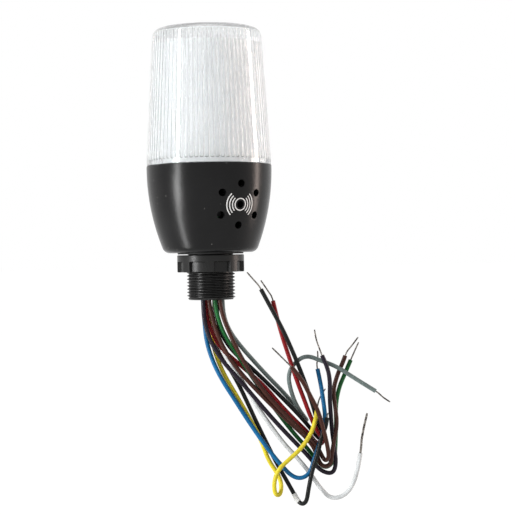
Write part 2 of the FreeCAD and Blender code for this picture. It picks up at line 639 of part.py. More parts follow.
def make_diffuser():
    """White tube round the LEDs, closed at its top."""
    body = new_body("diffuser")
    inner_top = "diffuser_level - diffuser_wall"
    revolve(body, "diffuser_cup", [
        ("diffuser_radius - diffuser_wall", "carrier_level"),
        ("diffuser_radius", "carrier_level"),
        ("diffuser_top_radius", "diffuser_level"),
        ("0", "diffuser_level"),
        ("0", inner_top),
        ("diffuser_top_radius - diffuser_wall", inner_top),
    ])
    return body


def make_box(name, corner, extent):
    """A Part box whose corner and sides follow formulas."""
    box = doc.addObject("Part::Box", name)
    for side, formula in zip(("Length", "Width", "Height"), extent):
        box.setExpression(side, sized(formula))
    for axis, formula in zip("xyz", corner):
        box.setExpression(f"Placement.Base.{axis}", sized(formula))
    return box


def make_cylinder(name, centre, radius, height):
    """An upright Part cylinder whose foot, radius and height follow formulas."""
    cylinder = doc.addObject("Part::Cylinder", name)
    cylinder.setExpression("Radius", sized(radius))
    cylinder.setExpression("Height", sized(height))
    for axis, formula in zip("xyz", centre):
        cylinder.setExpression(f"Placement.Base.{axis}", sized(formula))
    return cylinder


def make_group(label, pieces):
    """Several separate solids under one label."""
    group = doc.addObject("Part::Compound", label)
    group.Label = label
    group.Links = pieces
    return group


def make_led_board():
    """Upright board in the slot of the carrier."""
    board = make_box(
        "led_board",
        ("-led_width / 2", "-board_thick / 2", "led_bottom"),
        ("led_width", "board_thick", "led_top - led_bottom"))
    board.Label = "led_board"
    return board


def make_leds():
    """LEDs in two columns on each face of the upright board."""
    pieces = []
    for row in range(int(value("led_rows"))):
        level = f"led_first + {row} * (led_last - led_first) / (led_rows - 1) - led_size / 2"
        for column, across in (("left", "-led_column"), ("right", "led_column")):
            for face, depth in (("front", "-board_thick / 2 - led_high"), ("back", "board_thick / 2")):
                corner = (f"{across} - led_size / 2", depth, level)
                extent = ("led_size", "led_high", "led_size")
                pieces.append(make_box(f"led_{face}_{column}_{row}", corner, extent))
    return make_group("leds", pieces)


def inside_of_housing(level):
    """Formula of the housing's inner radius at a height, on its bulging wall."""
    rise = f"(({level}) - floor_top)"
    drop = f"(seat_level - ({level}))"
    line = f"foot_inside + (seat_inside - foot_inside) * {rise} / (seat_level - floor_top)"
    return f"({line} + {rise} * {drop} / (2 * side_radius))"


def make_driver_board():
    """Round board on the posts of the housing."""
    body = new_body("driver_board")
    sketch = new_sketch(body, "driver_outline", "XY_Plane", at_level("board_level"))
    add_circle(sketch, "0", "0", inside_of_housing("board_level") + " - board_play")
    pad(body, "driver_disc", sketch, "board_thick")
    hole_sketch = new_sketch(body, "driver_hole_sketch", "XY_Plane", at_level("board_top"))
    add_circle(hole_sketch, "post_ring", "0", "screw_radius + screw_gap")
    hole = pocket(body, "driver_hole", hole_sketch, "2 * board_thick")
    repeat_round(body, hole, "post_count")
    return body


def make_driver_parts():
    """Parts soldered on the driver board: a capacitor, a regulator, two chips and a resistor block."""
    pieces = [
        make_cylinder("capacitor", ("-13.5", "-5.5", "board_top"), "3.5", "11"),
        make_box("regulator", ("-9.8", "-8.6", "board_top"), ("4", "5.2", "2.3")),
        make_box("chip_main", ("-13", "3.5", "board_top"), ("7", "5", "1.7")),
        make_box("chip_sound", ("2", "5", "board_top"), ("5", "5", "1.7")),
        make_box("resistors", ("10", "3.5", "board_top"), ("4", "6", "1")),
    ]
    return make_group("driver_parts", pieces)


def make_board_link():
    """Pin strip that stands on the driver board and carries the LED board."""
    link = make_box(
        "board_link",
        ("-link_offset - link_width / 2", "-board_thick", "board_top"),
        ("link_width", "2 * board_thick", "link_high"))
    link.Label = "board_link"
    return link


def make_buzzer():
    """Sounder can on the driver board, close behind the sound holes, with a sound port on top."""
    body = new_body("buzzer")
    reach = "(" + inside_of_housing("board_top") + " - buzzer_wall_gap - buzzer_radius)"
    across = f"{reach} * sin(sound_azimuth)"
    deep = f"-1 * {reach} * cos(sound_azimuth)"
    sketch = new_sketch(body, "buzzer_outline", "XY_Plane", at_level("board_top"))
    add_circle(sketch, across, deep, "buzzer_radius")
    pad(body, "buzzer_can", sketch, "buzzer_high")
    port_sketch = new_sketch(body, "buzzer_port_sketch", "XY_Plane", at_level("board_top + buzzer_high"))
    add_circle(port_sketch, across, deep, "buzzer_port")
    pocket(body, "buzzer_opening", port_sketch, "buzzer_port_depth")
    return body


def make_board_screws():
    """Screws that hold the driver board down on its posts."""
    pieces = []
    for turn in range(int(value("post_count"))):
        angle = f"({turn} * 360 / post_count)"
        across = f"post_ring * cos{angle}"
        deep = f"post_ring * sin{angle}"
        shank = make_cylinder(
            f"screw_shank_{turn}", (across, deep, "board_top - screw_length"), "screw_radius", "screw_length")
        head = make_cylinder(
            f"screw_head_{turn}", (across, deep, "board_top"), "screw_head", "screw_head_high")
        screw = doc.addObject("Part::Fuse", f"screw_{turn}")
        screw.Base = shank
        screw.Tool = head
        pieces.append(screw)
    return make_group("board_screws", pieces)


def make_potting():
    """Resin that fills the stem round the leads, up to the driver board."""
    body = make_cylinder(
        "lead_potting", ("0", "0", "-potting_end"), "stem_bore - potting_gap", "potting_end + board_level")
    body.Label = "lead_potting"
    return body


def route_edges(points):
    """Straight runs joined by arcs that are as large as their two runs allow, with the arcs' radii."""
    corners = [FreeCAD.Vector(*point) for point in points]
    edges = []
    radii = []
    here = corners[0]
    for before, corner, after in zip(corners, corners[1:], corners[2:]):
        run_in = (corner - before).normalize()
        run_out = (after - corner).normalize()
        shorter = min(corner.distanceToPoint(before), corner.distanceToPoint(after))
        turn = run_in.getAngle(run_out)
        cut = 0.45 * shorter
        start = corner - run_in * cut
        end = corner + run_out * cut
        inward = (run_out - run_in).normalize()
        radius = cut / math.tan(turn / 2)
        middle = corner + inward * (radius / math.cos(turn / 2) - radius)
        edges.append(Part.LineSegment(here, start).toShape())
        edges.append(Part.Arc(start, middle, end).toShape())
        radii.append(radius)
        here = end
    edges.append(Part.LineSegment(here, corners[-1]).toShape())
    return edges, radii


def make_tube(label, points, radius):
    """A round tube along a route, as a sweep of a circle. Prints its radii and checks its volume."""
    edges, radii = route_edges(points)
    route = doc.addObject("Part::Feature", label + "_route")
    route.Shape = Part.Wire(edges)
    section = doc.addObject("Part::Circle", label + "_section")
    section.setExpression("Radius", sized(radius))
    along = FreeCAD.Vector(*points[1]) - FreeCAD.Vector(*points[0])
    section.Placement = FreeCAD.Placement(
        FreeCAD.Vector(*points[0]), FreeCAD.Rotation(FreeCAD.Vector(0, 0, 1), along))
    tube = doc.addObject("Part::Sweep", label)
    tube.Label = label
    tube.Sections = [section]
    tube.Spine = (route, [f"Edge{index + 1}" for index in range(len(edges))])
    tube.Solid = True
    tube.Frenet = False
    doc.recompute()
    wanted = math.pi * value(radius) ** 2 * route.Shape.Length
    share = tube.Shape.Volume / wanted
    if abs(share - 1) > 0.01:
        raise ValueError(f"{label} holds {share:.3f} of its section times its length")
    tightest = min(radii) if radii else 0
    print(f"{label}: {route.Shape.Length:.1f} mm long, tightest arc {tightest:.1f} mm, volume {share:.4f}")
    print("  radii " + " ".join(f"{one:.1f}" for one in radii))
    return tube


def make_sleeve():
    """Clear marker sleeve on one straight run of its lead, against the bend at the end of that run."""
    points = LEADS[SLEEVE_LEAD]
    start = FreeCAD.Vector(*points[SLEEVE_RUN])
    end = FreeCAD.Vector(*points[SLEEVE_RUN + 1])
    along = (end - start).normalize()
    middle = (start + end) / 2
    foot = middle - along * (value("sleeve_length") / 2)
    turned = FreeCAD.Rotation(FreeCAD.Vector(0, 0, 1), along)
    outer = make_cylinder("sleeve_outer", ("0", "0", "0"), "sleeve_radius", "sleeve_length")
    inner = make_cylinder("sleeve_inner", ("0", "0", "0"), "lead_radius + sleeve_gap", "sleeve_length")
    sleeve = doc.addObject("Part::Cut", "lead_sleeve")
    sleeve.Label = "lead_sleeve"
    sleeve.Base = outer
    sleeve.Tool = inner
    sleeve.Placement = FreeCAD.Placement(foot, turned)
    return sleeve


def make_leads():
    """The eleven leads and their bare ends."""
    nodes = []
    for label, points in LEADS.items():
        nodes.append(make_tube(label, points, "lead_radius"))
    for label, points in STRANDS.items():
        thick = "strand_thick" if label == "strands_white" else "strand_radius"
        nodes.append(make_tube(label, points, thick))
    return nodes


def check_document(nodes):
    """Stop if an object failed or a piece is empty or broken."""
    for thing in doc.Objects:
        if "Invalid" in thing.State or "Error" in thing.State:
            raise ValueError(f"{thing.Name} has failed: {thing.State}")
    for node in nodes:
        if node.Shape.isNull() or not node.Shape.isValid():
            raise ValueError(f"{node.Label} has no valid shape")


def write_parts(nodes):
    """Write each piece to parts/ under its label."""
    os.makedirs("parts", exist_ok=True)
    for node in nodes:
        node.Shape.exportStep(f"parts/{node.Label}.step")
        print(f"{node.Label}: {len(node.Shape.Solids)} solid(s), {node.Shape.Volume:.1f} mm3")


def main():
    nodes = [
        make_housing(),
        make_stem(),
        make_gasket(),
        make_nut(),
        make_lens(),
        make_lens_seal(),
        make_carrier(),
        make_diffuser(),
        make_led_board(),
        make_leds(),
        make_driver_board(),
        make_driver_parts(),
        make_board_link(),
        make_buzzer(),
        make_board_screws(),
        make_potting(),
    ]
    nodes += make_leads()
    nodes.append(make_sleeve())
    doc.recompute()
    check_document(nodes)
    write_parts(nodes)


main()
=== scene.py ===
"""A panel-mounted signal light with a sounder in its base, a threaded stem, a lock nut and loose leads.

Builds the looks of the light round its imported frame. All sizes are in metres, in the frame's own axes:
+Z runs up the light, -Y is its front and +X is to the right. The foot of the housing is at Z = 0.
"""
import logging
import math
from dataclasses import dataclass, field
from enum import Enum
from typing import Any, Callable, Iterable, Optional, Union

import bmesh
import bpy
from mathutils import Matrix, Vector
from mathutils.bvhtree import BVHTree


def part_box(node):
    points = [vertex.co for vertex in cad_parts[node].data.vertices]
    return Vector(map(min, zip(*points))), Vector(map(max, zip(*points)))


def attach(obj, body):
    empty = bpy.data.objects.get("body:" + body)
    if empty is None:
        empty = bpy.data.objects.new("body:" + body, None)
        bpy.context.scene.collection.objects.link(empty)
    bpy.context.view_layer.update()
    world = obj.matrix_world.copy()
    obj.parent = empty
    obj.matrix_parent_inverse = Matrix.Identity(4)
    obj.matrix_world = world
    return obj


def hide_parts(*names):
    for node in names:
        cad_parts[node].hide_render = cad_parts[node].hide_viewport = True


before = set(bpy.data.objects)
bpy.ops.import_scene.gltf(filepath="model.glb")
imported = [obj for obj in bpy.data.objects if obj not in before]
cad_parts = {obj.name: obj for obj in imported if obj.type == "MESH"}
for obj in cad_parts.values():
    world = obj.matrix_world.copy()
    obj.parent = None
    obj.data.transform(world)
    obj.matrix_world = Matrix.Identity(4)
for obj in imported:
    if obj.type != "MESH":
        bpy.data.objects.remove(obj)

LOG = logging.getLogger("signal_light")
MM = 0.001
TURN = 2.0 * math.pi
WELD = 1e-6
LEVEL_PLAY = 1e-5
ANGLE_PLAY = 1e-4
Number = Union[int, float]
Point = tuple[float, float, float]
Colour = tuple[float, float, float]
Corner = tuple[float, float]


class Body(Enum):
    """The bodies of the frame that the pieces ride on."""

    LIGHT = "body"
    NUT = "nut"


class Operation(Enum):
    """The sums that a Math node does for the expressions below."""

    ADD = "ADD"
    SUBTRACT = "SUBTRACT"
    MULTIPLY = "MULTIPLY"
    DIVIDE = "DIVIDE"
    MINIMUM = "MINIMUM"
    MAXIMUM = "MAXIMUM"
    LESS = "LESS_THAN"
    GREATER = "GREATER_THAN"
    ABSOLUTE = "ABSOLUTE"
    FRACTION = "FRACT"
    ROOT = "SQRT"
    SINE = "SINE"
    COSINE = "COSINE"
    ROUND = "ROUND"


class Signal:
    """A number that flows out of a node, so that sums on it can be written as Python expressions."""

    def __init__(self, tree: "Tree", socket: bpy.types.NodeSocket) -> None:
        """Wraps one output socket.

        Args:
            tree: the node tree that the socket is in.
            socket: the output socket that carries the value.
        """
        self.tree = tree
        self.socket = socket

    def _sum(self, operation: Operation, *values: Union["Signal", Number]) -> "Signal":
        """Adds one Math node.

        Args:
            operation: what the node works out.
            values: its operands, in order.

        Returns:
            The node's result.
        """
        made = self.tree.node("ShaderNodeMath", {"operation": operation.value}, dict(enumerate(values)))
        return Signal(self.tree, made.outputs[0])

    def __add__(self, other: Union["Signal", Number]) -> "Signal":
        """Returns self + other."""
        return self._sum(Operation.ADD, self, other)

    __radd__ = __add__

    def __sub__(self, other: Union["Signal", Number]) -> "Signal":
        """Returns self - other."""
        return self._sum(Operation.SUBTRACT, self, other)

    def __rsub__(self, other: Number) -> "Signal":
        """Returns other - self."""
        return self._sum(Operation.SUBTRACT, other, self)

    def __mul__(self, other: Union["Signal", Number]) -> "Signal":
        """Returns self * other."""
        return self._sum(Operation.MULTIPLY, self, other)

    __rmul__ = __mul__

    def __truediv__(self, other: Union["Signal", Number]) -> "Signal":
        """Returns self / other."""
        return self._sum(Operation.DIVIDE, self, other)

    def __lt__(self, other: Union["Signal", Number]) -> "Signal":
        """Returns 1 where self is less than other, else 0."""
        return self._sum(Operation.LESS, self, other)

    def __gt__(self, other: Union["Signal", Number]) -> "Signal":
        """Returns 1 where self is greater than other, else 0."""
        return self._sum(Operation.GREATER, self, other)

    def __abs__(self) -> "Signal":
        """Returns the size of self without its sign."""
        return self._sum(Operation.ABSOLUTE, self)

    def lesser(self, other: Union["Signal", Number]) -> "Signal":
        """Returns the smaller of self and other."""
        return self._sum(Operation.MINIMUM, self, other)

    def larger(self, other: Union["Signal", Number]) -> "Signal":
        """Returns the larger of self and other."""
        return self._sum(Operation.MAXIMUM, self, other)

    def held(self) -> "Signal":
        """Returns self, kept between 0 and 1."""
        return self.lesser(1.0).larger(0.0)

    def fraction(self) -> "Signal":
        """Returns what self has past the whole number below it."""
        return self._sum(Operation.FRACTION, self)

    def root(self) -> "Signal":
        """Returns the square root of self."""
        return self._sum(Operation.ROOT, self)

    def sine(self) -> "Signal":
        """Returns the sine of self, an angle in radians."""
        return self._sum(Operation.SINE, self)

    def cosine(self) -> "Signal":
        """Returns the cosine of self, an angle in radians."""
        return self._sum(Operation.COSINE, self)

    def rounded(self) -> "Signal":
        """Returns the whole number nearest to self."""
        return self._sum(Operation.ROUND, self)

    def eased(self, low: float, high: float) -> "Signal":
        """Turns self into a soft step.

        Args:
            low: the value below which the step is 0.
            high: the value above which it is 1.

        Returns:
            The step, from 0 to 1.
        """
        made = self.tree.node(
            "ShaderNodeMapRange",
            {"interpolation_type": "SMOOTHSTEP"},
            {"Value": self, "From Min": low, "From Max": high},
        )
        return Signal(self.tree, made.outputs["Result"])


class Tree:
    """One node tree, and the ways in which nodes are added to it."""

    def __init__(self, tree: bpy.types.NodeTree) -> None:
        """Wraps a node tree.

        Args:
            tree: the tree that nodes are added to.
        """
        self.tree = tree

    def node(
        self,
        kind: str,
        settings: Optional[dict[str, Any]] = None,
        inputs: Optional[dict[Union[str, int], Any]] = None,
    ) -> bpy.types.Node:
        """Adds a node.

        Args:
            kind: the node's type name.
            settings: its own properties, set first.
            inputs: a value, a Signal or a socket for each named or numbered input.

        Returns:
            The new node.
        """
        made = self.tree.nodes.new(kind)
        for name, value in (settings or {}).items():
            setattr(made, name, value)
        for key, value in (inputs or {}).items():
            self.feed(made.inputs[key], value)
        return made

    def feed(self, entry: bpy.types.NodeSocket, value: Any) -> None:
        """Links or sets one input socket.

        Args:
            entry: the input socket.
            value: a Signal or a socket that is linked to it, or the value that it is set to.
        """
        if isinstance(value, Signal):
            self.tree.links.new(value.socket, entry)
        elif isinstance(value, bpy.types.NodeSocket):
            self.tree.links.new(value, entry)
        else:
            entry.default_value = value

    def signal(self, node: bpy.types.Node, output: Union[str, int] = 0) -> Signal:
        """Returns one output of a node as a Signal."""
        return Signal(self, node.outputs[output])

    def place(self) -> bpy.types.NodeSocket:
        """Returns the Object coordinates, in metres."""
        return self.node("ShaderNodeTexCoord").outputs["Object"]

    def axes(self, vector: bpy.types.NodeSocket) -> tuple[Signal, Signal, Signal]:
        """Splits a vector.

        Args:
            vector: the socket that carries it.

        Returns:
            Its X, Y and Z.
        """
        parted = self.node("ShaderNodeSeparateXYZ", None, {0: vector})
        return self.signal(parted, 0), self.signal(parted, 1), self.signal(parted, 2)

    def noise(
        self, vector: bpy.types.NodeSocket, scale: float, detail: float = 2.0, rough: float = 0.5
    ) -> Signal:
        """Adds a noise pattern.

        Args:
            vector: the coordinates that it lies on, in metres.
            scale: how many lumps it has to the metre, roughly.
            detail: how many finer layers it has.
            rough: how strong the finer layers are.

        Returns:
            The pattern, from 0 to 1 round 0.5.
        """
        made = self.node(
            "ShaderNodeTexNoise",
            None,
            {"Vector": vector, "Scale": scale, "Detail": detail, "Roughness": rough},
        )
        return self.signal(made, 0)

    def cells(self, vector: bpy.types.NodeSocket, scale: float) -> tuple[Signal, Signal]:
        """Adds a pattern of random cells.

        Args:
            vector: the coordinates that it lies on, in metres.
            scale: how many cells it has to the metre.

        Returns:
            The distance from the middle of the cell, and a random number for each cell.
        """
        made = self.node("ShaderNodeTexVoronoi", None, {"Vector": vector, "Scale": scale})
        red, _, _ = self.axes(made.outputs["Color"])
        return self.signal(made, "Distance"), red

    def blend(
        self,
        share: Union[Signal, float],
        first: Union[Colour, bpy.types.NodeSocket],
        second: Union[Colour, bpy.types.NodeSocket],
    ) -> bpy.types.NodeSocket:
        """Mixes two colours.

        Args:
            share: how much there is of the second one, from 0 to 1.
            first: the colour at 0.
            second: the colour at 1.

        Returns:
            The mixed colour.
        """
        colours = [plain(value) if isinstance(value, tuple) else value for value in (first, second)]
        made = self.node("ShaderNodeMix", {"data_type": "RGBA"}, {0: share, 6: colours[0], 7: colours[1]})
        return made.outputs[2]

    def bump(self, height: Signal, depth: float) -> bpy.types.NodeSocket:
        """Turns a height into a normal.

        Args:
            height: the height, from 0 to 1.
            depth: how many metres a height of 1 stands for.

        Returns:
            The normal.
        """
        return self.node("ShaderNodeBump", None, {"Height": height, "Distance": depth}).outputs["Normal"]


class Paint:
    """A new material with one shader on it."""

    def __init__(self, name: str) -> None:
        """Makes an empty material.

        Args:
            name: what the material is called.
        """
        self.material = bpy.data.materials.new(name)
        self.material.use_nodes = True
        self.material.node_tree.nodes.clear()
        self.tree = Tree(self.material.node_tree)

    def close(self, shader: bpy.types.NodeSocket) -> bpy.types.Material:
        """Puts a shader on the surface.

        Args:
            shader: the shader's output.

        Returns:
            The finished material.
        """
        self.tree.node("ShaderNodeOutputMaterial", None, {"Surface": shader})
        return self.material

    def principled(self, inputs: dict[Union[str, int], Any]) -> bpy.types.Material:
        """Puts a Principled shader on the surface.

        Args:
            inputs: its sockets' values and links.

        Returns:
            The finished material.
        """
        return self.close(self.tree.node("ShaderNodeBsdfPrincipled", None, inputs).outputs[0])


def plain(colour: Colour) -> tuple[float, float, float, float]:
    """Returns a colour with its alpha of 1."""
    return (*colour, 1.0)


def shade(colour: Colour, factor: float) -> Colour:
    """Returns a colour made darker or lighter by a factor, kept below 1."""
    return (min(1.0, colour[0] * factor), min(1.0, colour[1] * factor), min(1.0, colour[2] * factor))


@dataclass(frozen=True)
class Moulding:
    """Black or dark moulded plastic: fine spark-eroded texture, faint flow clouds, and pale specks that are
    partly dust and partly painted glints.
    """

    name: str
    colour: Colour
    rough: float = 0.42
    grain: float = 1900.0
    depth: float = 0.00002
    gloss: float = 0.4
    dust_and_glints: float = 0.25
    clouds: float = 60.0
    specks: float = 700.0
    speck_size: float = 0.1
    speckless_share: float = 0.88
    dust_and_glint_colour: Colour = (0.6, 0.58, 0.55)

    def material(self) -> bpy.types.Material:
        """Returns the material."""
        paint = Paint(self.name)
        tree = paint.tree
        place = tree.place()
        texture = tree.noise(place, self.grain, 3.0, 0.6)
        clouds = tree.noise(place, self.clouds, 2.0)
        distance, chance = tree.cells(place, self.specks)
        # Pale specks in the base colour: partly real dust, partly painted glints that stand in for a
        # speckled highlight.
        speck = (distance < self.speck_size) * (chance > self.speckless_share)
        tone = tree.blend(clouds.eased(0.3, 0.7), shade(self.colour, 0.82), shade(self.colour, 1.2))
        tone = tree.blend(speck * self.dust_and_glints, tone, self.dust_and_glint_colour)
        rough = (self.rough - 0.06) + 0.12 * texture + 0.06 * clouds
        return paint.principled({
            "Base Color": tone,
            "Roughness": rough,
            "Specular IOR Level": self.gloss,
            "Normal": tree.bump(texture, self.depth),
        })


@dataclass(frozen=True)
class Rubber:
    """Soft black sealing rubber, dull, with a slight bloom."""

    name: str
    colour: Colour = (0.012, 0.012, 0.012)
    grain: float = 900.0
    bloom: float = 120.0
    depth: float = 0.00004

    def material(self) -> bpy.types.Material:
        """Returns the material."""
        paint = Paint(self.name)
        tree = paint.tree
        place = tree.place()
        grain = tree.noise(place, self.grain, 3.0)
        bloom = tree.noise(place, self.bloom, 2.0)
        return paint.principled({
            "Base Color": tree.blend(bloom.eased(0.45, 0.8) * 0.5, self.colour, shade(self.colour, 2.2)),
            "Roughness": 0.62 + 0.2 * grain,
            "Specular IOR Level": 0.35,
            "Normal": tree.bump(grain, self.depth),
        })


@dataclass(frozen=True)
class ClearPlastic:
    """Clear moulded plastic, with faint flow clouds; some light goes straight through it."""

    name: str
    tint: Colour = (0.925, 0.94, 0.948)
    refraction: float = 1.49
    rough: float = 0.02
    cover: float = 0.84
    clouds: float = 45.0

    def material(self) -> bpy.types.Material:
        """Returns the material."""
        paint = Paint(self.name)
        tree = paint.tree
        place = tree.place()
        haze = tree.noise(place, self.clouds, 2.0)
        return paint.principled({
            "Base Color": tree.blend(haze.eased(0.35, 0.75), self.tint, shade(self.tint, 0.985)),
            "Roughness": self.rough + 0.03 * haze,
            "IOR": self.refraction,
            "Transmission Weight": 1.0,
            "Alpha": self.cover + 0.05 * haze,
        })


@dataclass(frozen=True)
class WhitePlastic:
    """White moulded plastic, satin, with a very fine texture."""

    name: str
    colour: Colour = (0.86, 0.87, 0.87)
    rough: float = 0.45
    grain: float = 1500.0
    clouds: float = 40.0
    depth: float = 0.00002

    def material(self) -> bpy.types.Material:
        """Returns the material."""
        paint = Paint(self.name)
        tree = paint.tree
        place = tree.place()
        grain = tree.noise(place, self.grain, 2.0)
        clouds = tree.noise(place, self.clouds, 2.0)
        tone = tree.blend(clouds, shade(self.colour, 0.97), shade(self.colour, 1.02))
        return paint.principled({
            "Base Color": tone,
            "Roughness": self.rough + 0.1 * grain,
            "Normal": tree.bump(grain, self.depth),
        })


@dataclass(frozen=True)
class Insulation:
    """Extruded wire insulation: satin gloss, fine drawing lines, scuffs and a little chalk dust."""

    name: str
    colour: Colour
    rough: float = 0.26
    gloss: float = 0.16
    clouds: float = 160.0
    scuffs: float = 800.0
    chalk: float = 0.14
    depth: float = 0.00003

    def material(self) -> bpy.types.Material:
        """Returns the material."""
        paint = Paint(self.name)
        tree = paint.tree
        place = tree.place()
        clouds = tree.noise(place, self.clouds, 3.0)
        scuff = tree.noise(place, self.scuffs, 4.0, 0.65).eased(0.6, 0.78)
        tone = tree.blend(clouds.eased(0.3, 0.7), shade(self.colour, 0.85), shade(self.colour, 1.12))
        pale = tuple(0.7 * c + 0.08 for c in self.colour)
        tone = tree.blend(scuff * self.chalk, tone, pale)
        return paint.principled({
            "Base Color": tone,
            "Roughness": self.rough + 0.1 * clouds + 0.15 * scuff,
            "Specular IOR Level": self.gloss,
            "Normal": tree.bump(clouds, self.depth),
        })


@dataclass(frozen=True)
class TinnedCopper:
    """Tinned copper strands: dull silver with darker, browner patches."""

    name: str
    bright: Colour = (0.24, 0.225, 0.205)
    dark: Colour = (0.04, 0.033, 0.028)
    patches: float = 700.0
    grain: float = 4000.0
    depth: float = 0.00002

    def material(self) -> bpy.types.Material:
        """Returns the material."""
        paint = Paint(self.name)
        tree = paint.tree
        place = tree.place()
        patches = tree.noise(place, self.patches, 3.0, 0.6)
        grain = tree.noise(place, self.grain, 2.0)
        stain = patches.eased(0.42, 0.62)
        return paint.principled({
            "Base Color": tree.blend(stain, self.bright, self.dark),
            "Metallic": 0.95 - 0.25 * stain,
            "Roughness": 0.34 + 0.2 * patches,
            "Normal": tree.bump(grain, self.depth),
        })


@dataclass(frozen=True)
class MilkySleeve:
    """Thin clear sleeving, slightly milky and unevenly stretched."""

    name: str
    tint: Colour = (0.86, 0.87, 0.85)
    refraction: float = 1.45
    clouds: float = 500.0
    depth: float = 0.00005

    def material(self) -> bpy.types.Material:
        """Returns the material."""
        paint = Paint(self.name)
        tree = paint.tree
        place = tree.place()
        clouds = tree.noise(place, self.clouds, 3.0)
        return paint.principled({
            "Base Color": tree.blend(clouds, self.tint, shade(self.tint, 0.9)),
            "Roughness": 0.22 + 0.3 * clouds,
            "IOR": self.refraction,
            "Alpha": (0.35 + 0.5 * clouds).held(),
            "Normal": tree.bump(clouds, self.depth),
        })


@dataclass(frozen=True)
class SolderMask:
    """A printed board: glossy mask with copper tracks showing faintly through it."""

    name: str
    colour: Colour
    track: Colour
    lines_to_metre: float = 420.0
    rows_to_metre: float = 260.0
    weave: float = 1200.0
    depth: float = 0.00003

    def material(self) -> bpy.types.Material:
        """Returns the material."""
        paint = Paint(self.name)
        tree = paint.tree
        across, deep, up = tree.axes(tree.place())
        lines = ((across + up) * self.lines_to_metre).fraction() < 0.3
        rows = ((deep + up) * self.rows_to_metre).fraction() < 0.35
        tracks = lines * rows
        weave = tree.noise(tree.place(), self.weave, 2.0)
        return paint.principled({
            "Base Color": tree.blend(tracks * 0.7, self.colour, self.track),
            "Roughness": 0.24 + 0.12 * weave,
            "Normal": tree.bump(tracks + 0.15 * weave, self.depth),
        })


@dataclass(frozen=True)
class LedPackage:
    """White LED packages with a round phosphor window in the middle of each."""

    name: str
    row_pitch: float
    first_row: float
    column: float
    window: float = 1.7 * MM
    body: Colour = (0.85, 0.85, 0.82)
    phosphor: Colour = (0.86, 0.72, 0.2)
    grain: float = 2500.0
    depth: float = 0.00002

    def material(self) -> bpy.types.Material:
        """Returns the material."""
        paint = Paint(self.name)
        tree = paint.tree
        across, _, up = tree.axes(tree.place())
        sideways = abs(across) - self.column
        row = (up - self.first_row) / self.row_pitch
        upward = (row - row.rounded()) * self.row_pitch
        reach = (sideways * sideways + upward * upward).root()
        phosphor = 1.0 - reach.eased(self.window * 0.9, self.window * 1.1)
        grain = tree.noise(tree.place(), self.grain, 2.0)
        return paint.principled({
            "Base Color": tree.blend(phosphor, self.body, self.phosphor),
            "Roughness": 0.45 - 0.25 * phosphor + 0.08 * grain,
            "Normal": tree.bump(grain, self.depth),
        })


@dataclass(frozen=True)
class Component:
    """Black epoxy of electronic components, dull, with a fine grain and small pits."""

    name: str
    colour: Colour = (0.018, 0.018, 0.02)
    grain: float = 2600.0
    pits: float = 1500.0
    depth: float = 0.00002

    def material(self) -> bpy.types.Material:
        """Returns the material."""
        paint = Paint(self.name)
        tree = paint.tree
        place = tree.place()
        grain = tree.noise(place, self.grain, 3.0)
        pits, _ = tree.cells(place, self.pits)
        return paint.principled({
            "Base Color": tree.blend(grain, self.colour, shade(self.colour, 1.8)),
            "Roughness": 0.5 + 0.2 * grain,
            "Normal": tree.bump(pits.eased(0.0, 0.3), self.depth),
        })


@dataclass(frozen=True)
class ZincScrew:
    """Zinc plated steel with turning marks and a slight yellow cast."""

    name: str
    marks_to_metre: float = 9000.0
    zinc: Colour = (0.6, 0.6, 0.6)
    cast: Colour = (0.62, 0.57, 0.46)
    clouds: float = 500.0
    depth: float = 0.00001

    def material(self) -> bpy.types.Material:
        """Returns the material."""
        paint = Paint(self.name)
        tree = paint.tree
        place = tree.place()
        _, _, up = tree.axes(place)
        marks = (up * self.marks_to_metre).sine() * 0.5 + 0.5
        cloud = tree.noise(place, self.clouds, 2.0)
        return paint.principled({
            "Base Color": tree.blend(cloud, self.zinc, self.cast),
            "Metallic": 1.0,
            "Roughness": 0.22 + 0.15 * cloud,
            "Normal": tree.bump(marks, self.depth),
        })


@dataclass(frozen=True)
class CastResin:
    """Black potting resin: glossy, with shallow waves and a few pinholes."""

    name: str
    dark: Colour = (0.008, 0.008, 0.009)
    light: Colour = (0.02, 0.02, 0.022)
    waves: float = 260.0
    pinholes: float = 900.0
    depth: float = 0.00015

    def material(self) -> bpy.types.Material:
        """Returns the material."""
        paint = Paint(self.name)
        tree = paint.tree
        place = tree.place()
        waves = tree.noise(place, self.waves, 1.0)
        distance, chance = tree.cells(place, self.pinholes)
        holes = (distance < 0.2) * (chance > 0.8)
        return paint.principled({
            "Base Color": tree.blend(waves, self.dark, self.light),
            "Roughness": 0.16 + 0.12 * waves,
            "Normal": tree.bump(waves - 0.4 * holes, self.depth),
        })


@dataclass(frozen=True)
class PrintedInk:
    """White pad-printed ink on the textured housing, a little worn."""

    name: str
    ink: Colour = (0.8, 0.8, 0.79)
    worn: Colour = (0.3, 0.3, 0.3)
    grain: float = 2200.0
    depth: float = 0.00003

    def material(self) -> bpy.types.Material:
        """Returns the material."""
        paint = Paint(self.name)
        tree = paint.tree
        place = tree.place()
        grain = tree.noise(place, self.grain, 3.0, 0.6)
        wear = grain.eased(0.62, 0.72)
        return paint.principled({
            "Base Color": tree.blend(wear * 0.5, self.ink, self.worn),
            "Roughness": 0.45 + 0.2 * grain,
            "Normal": tree.bump(grain, self.depth),
        })


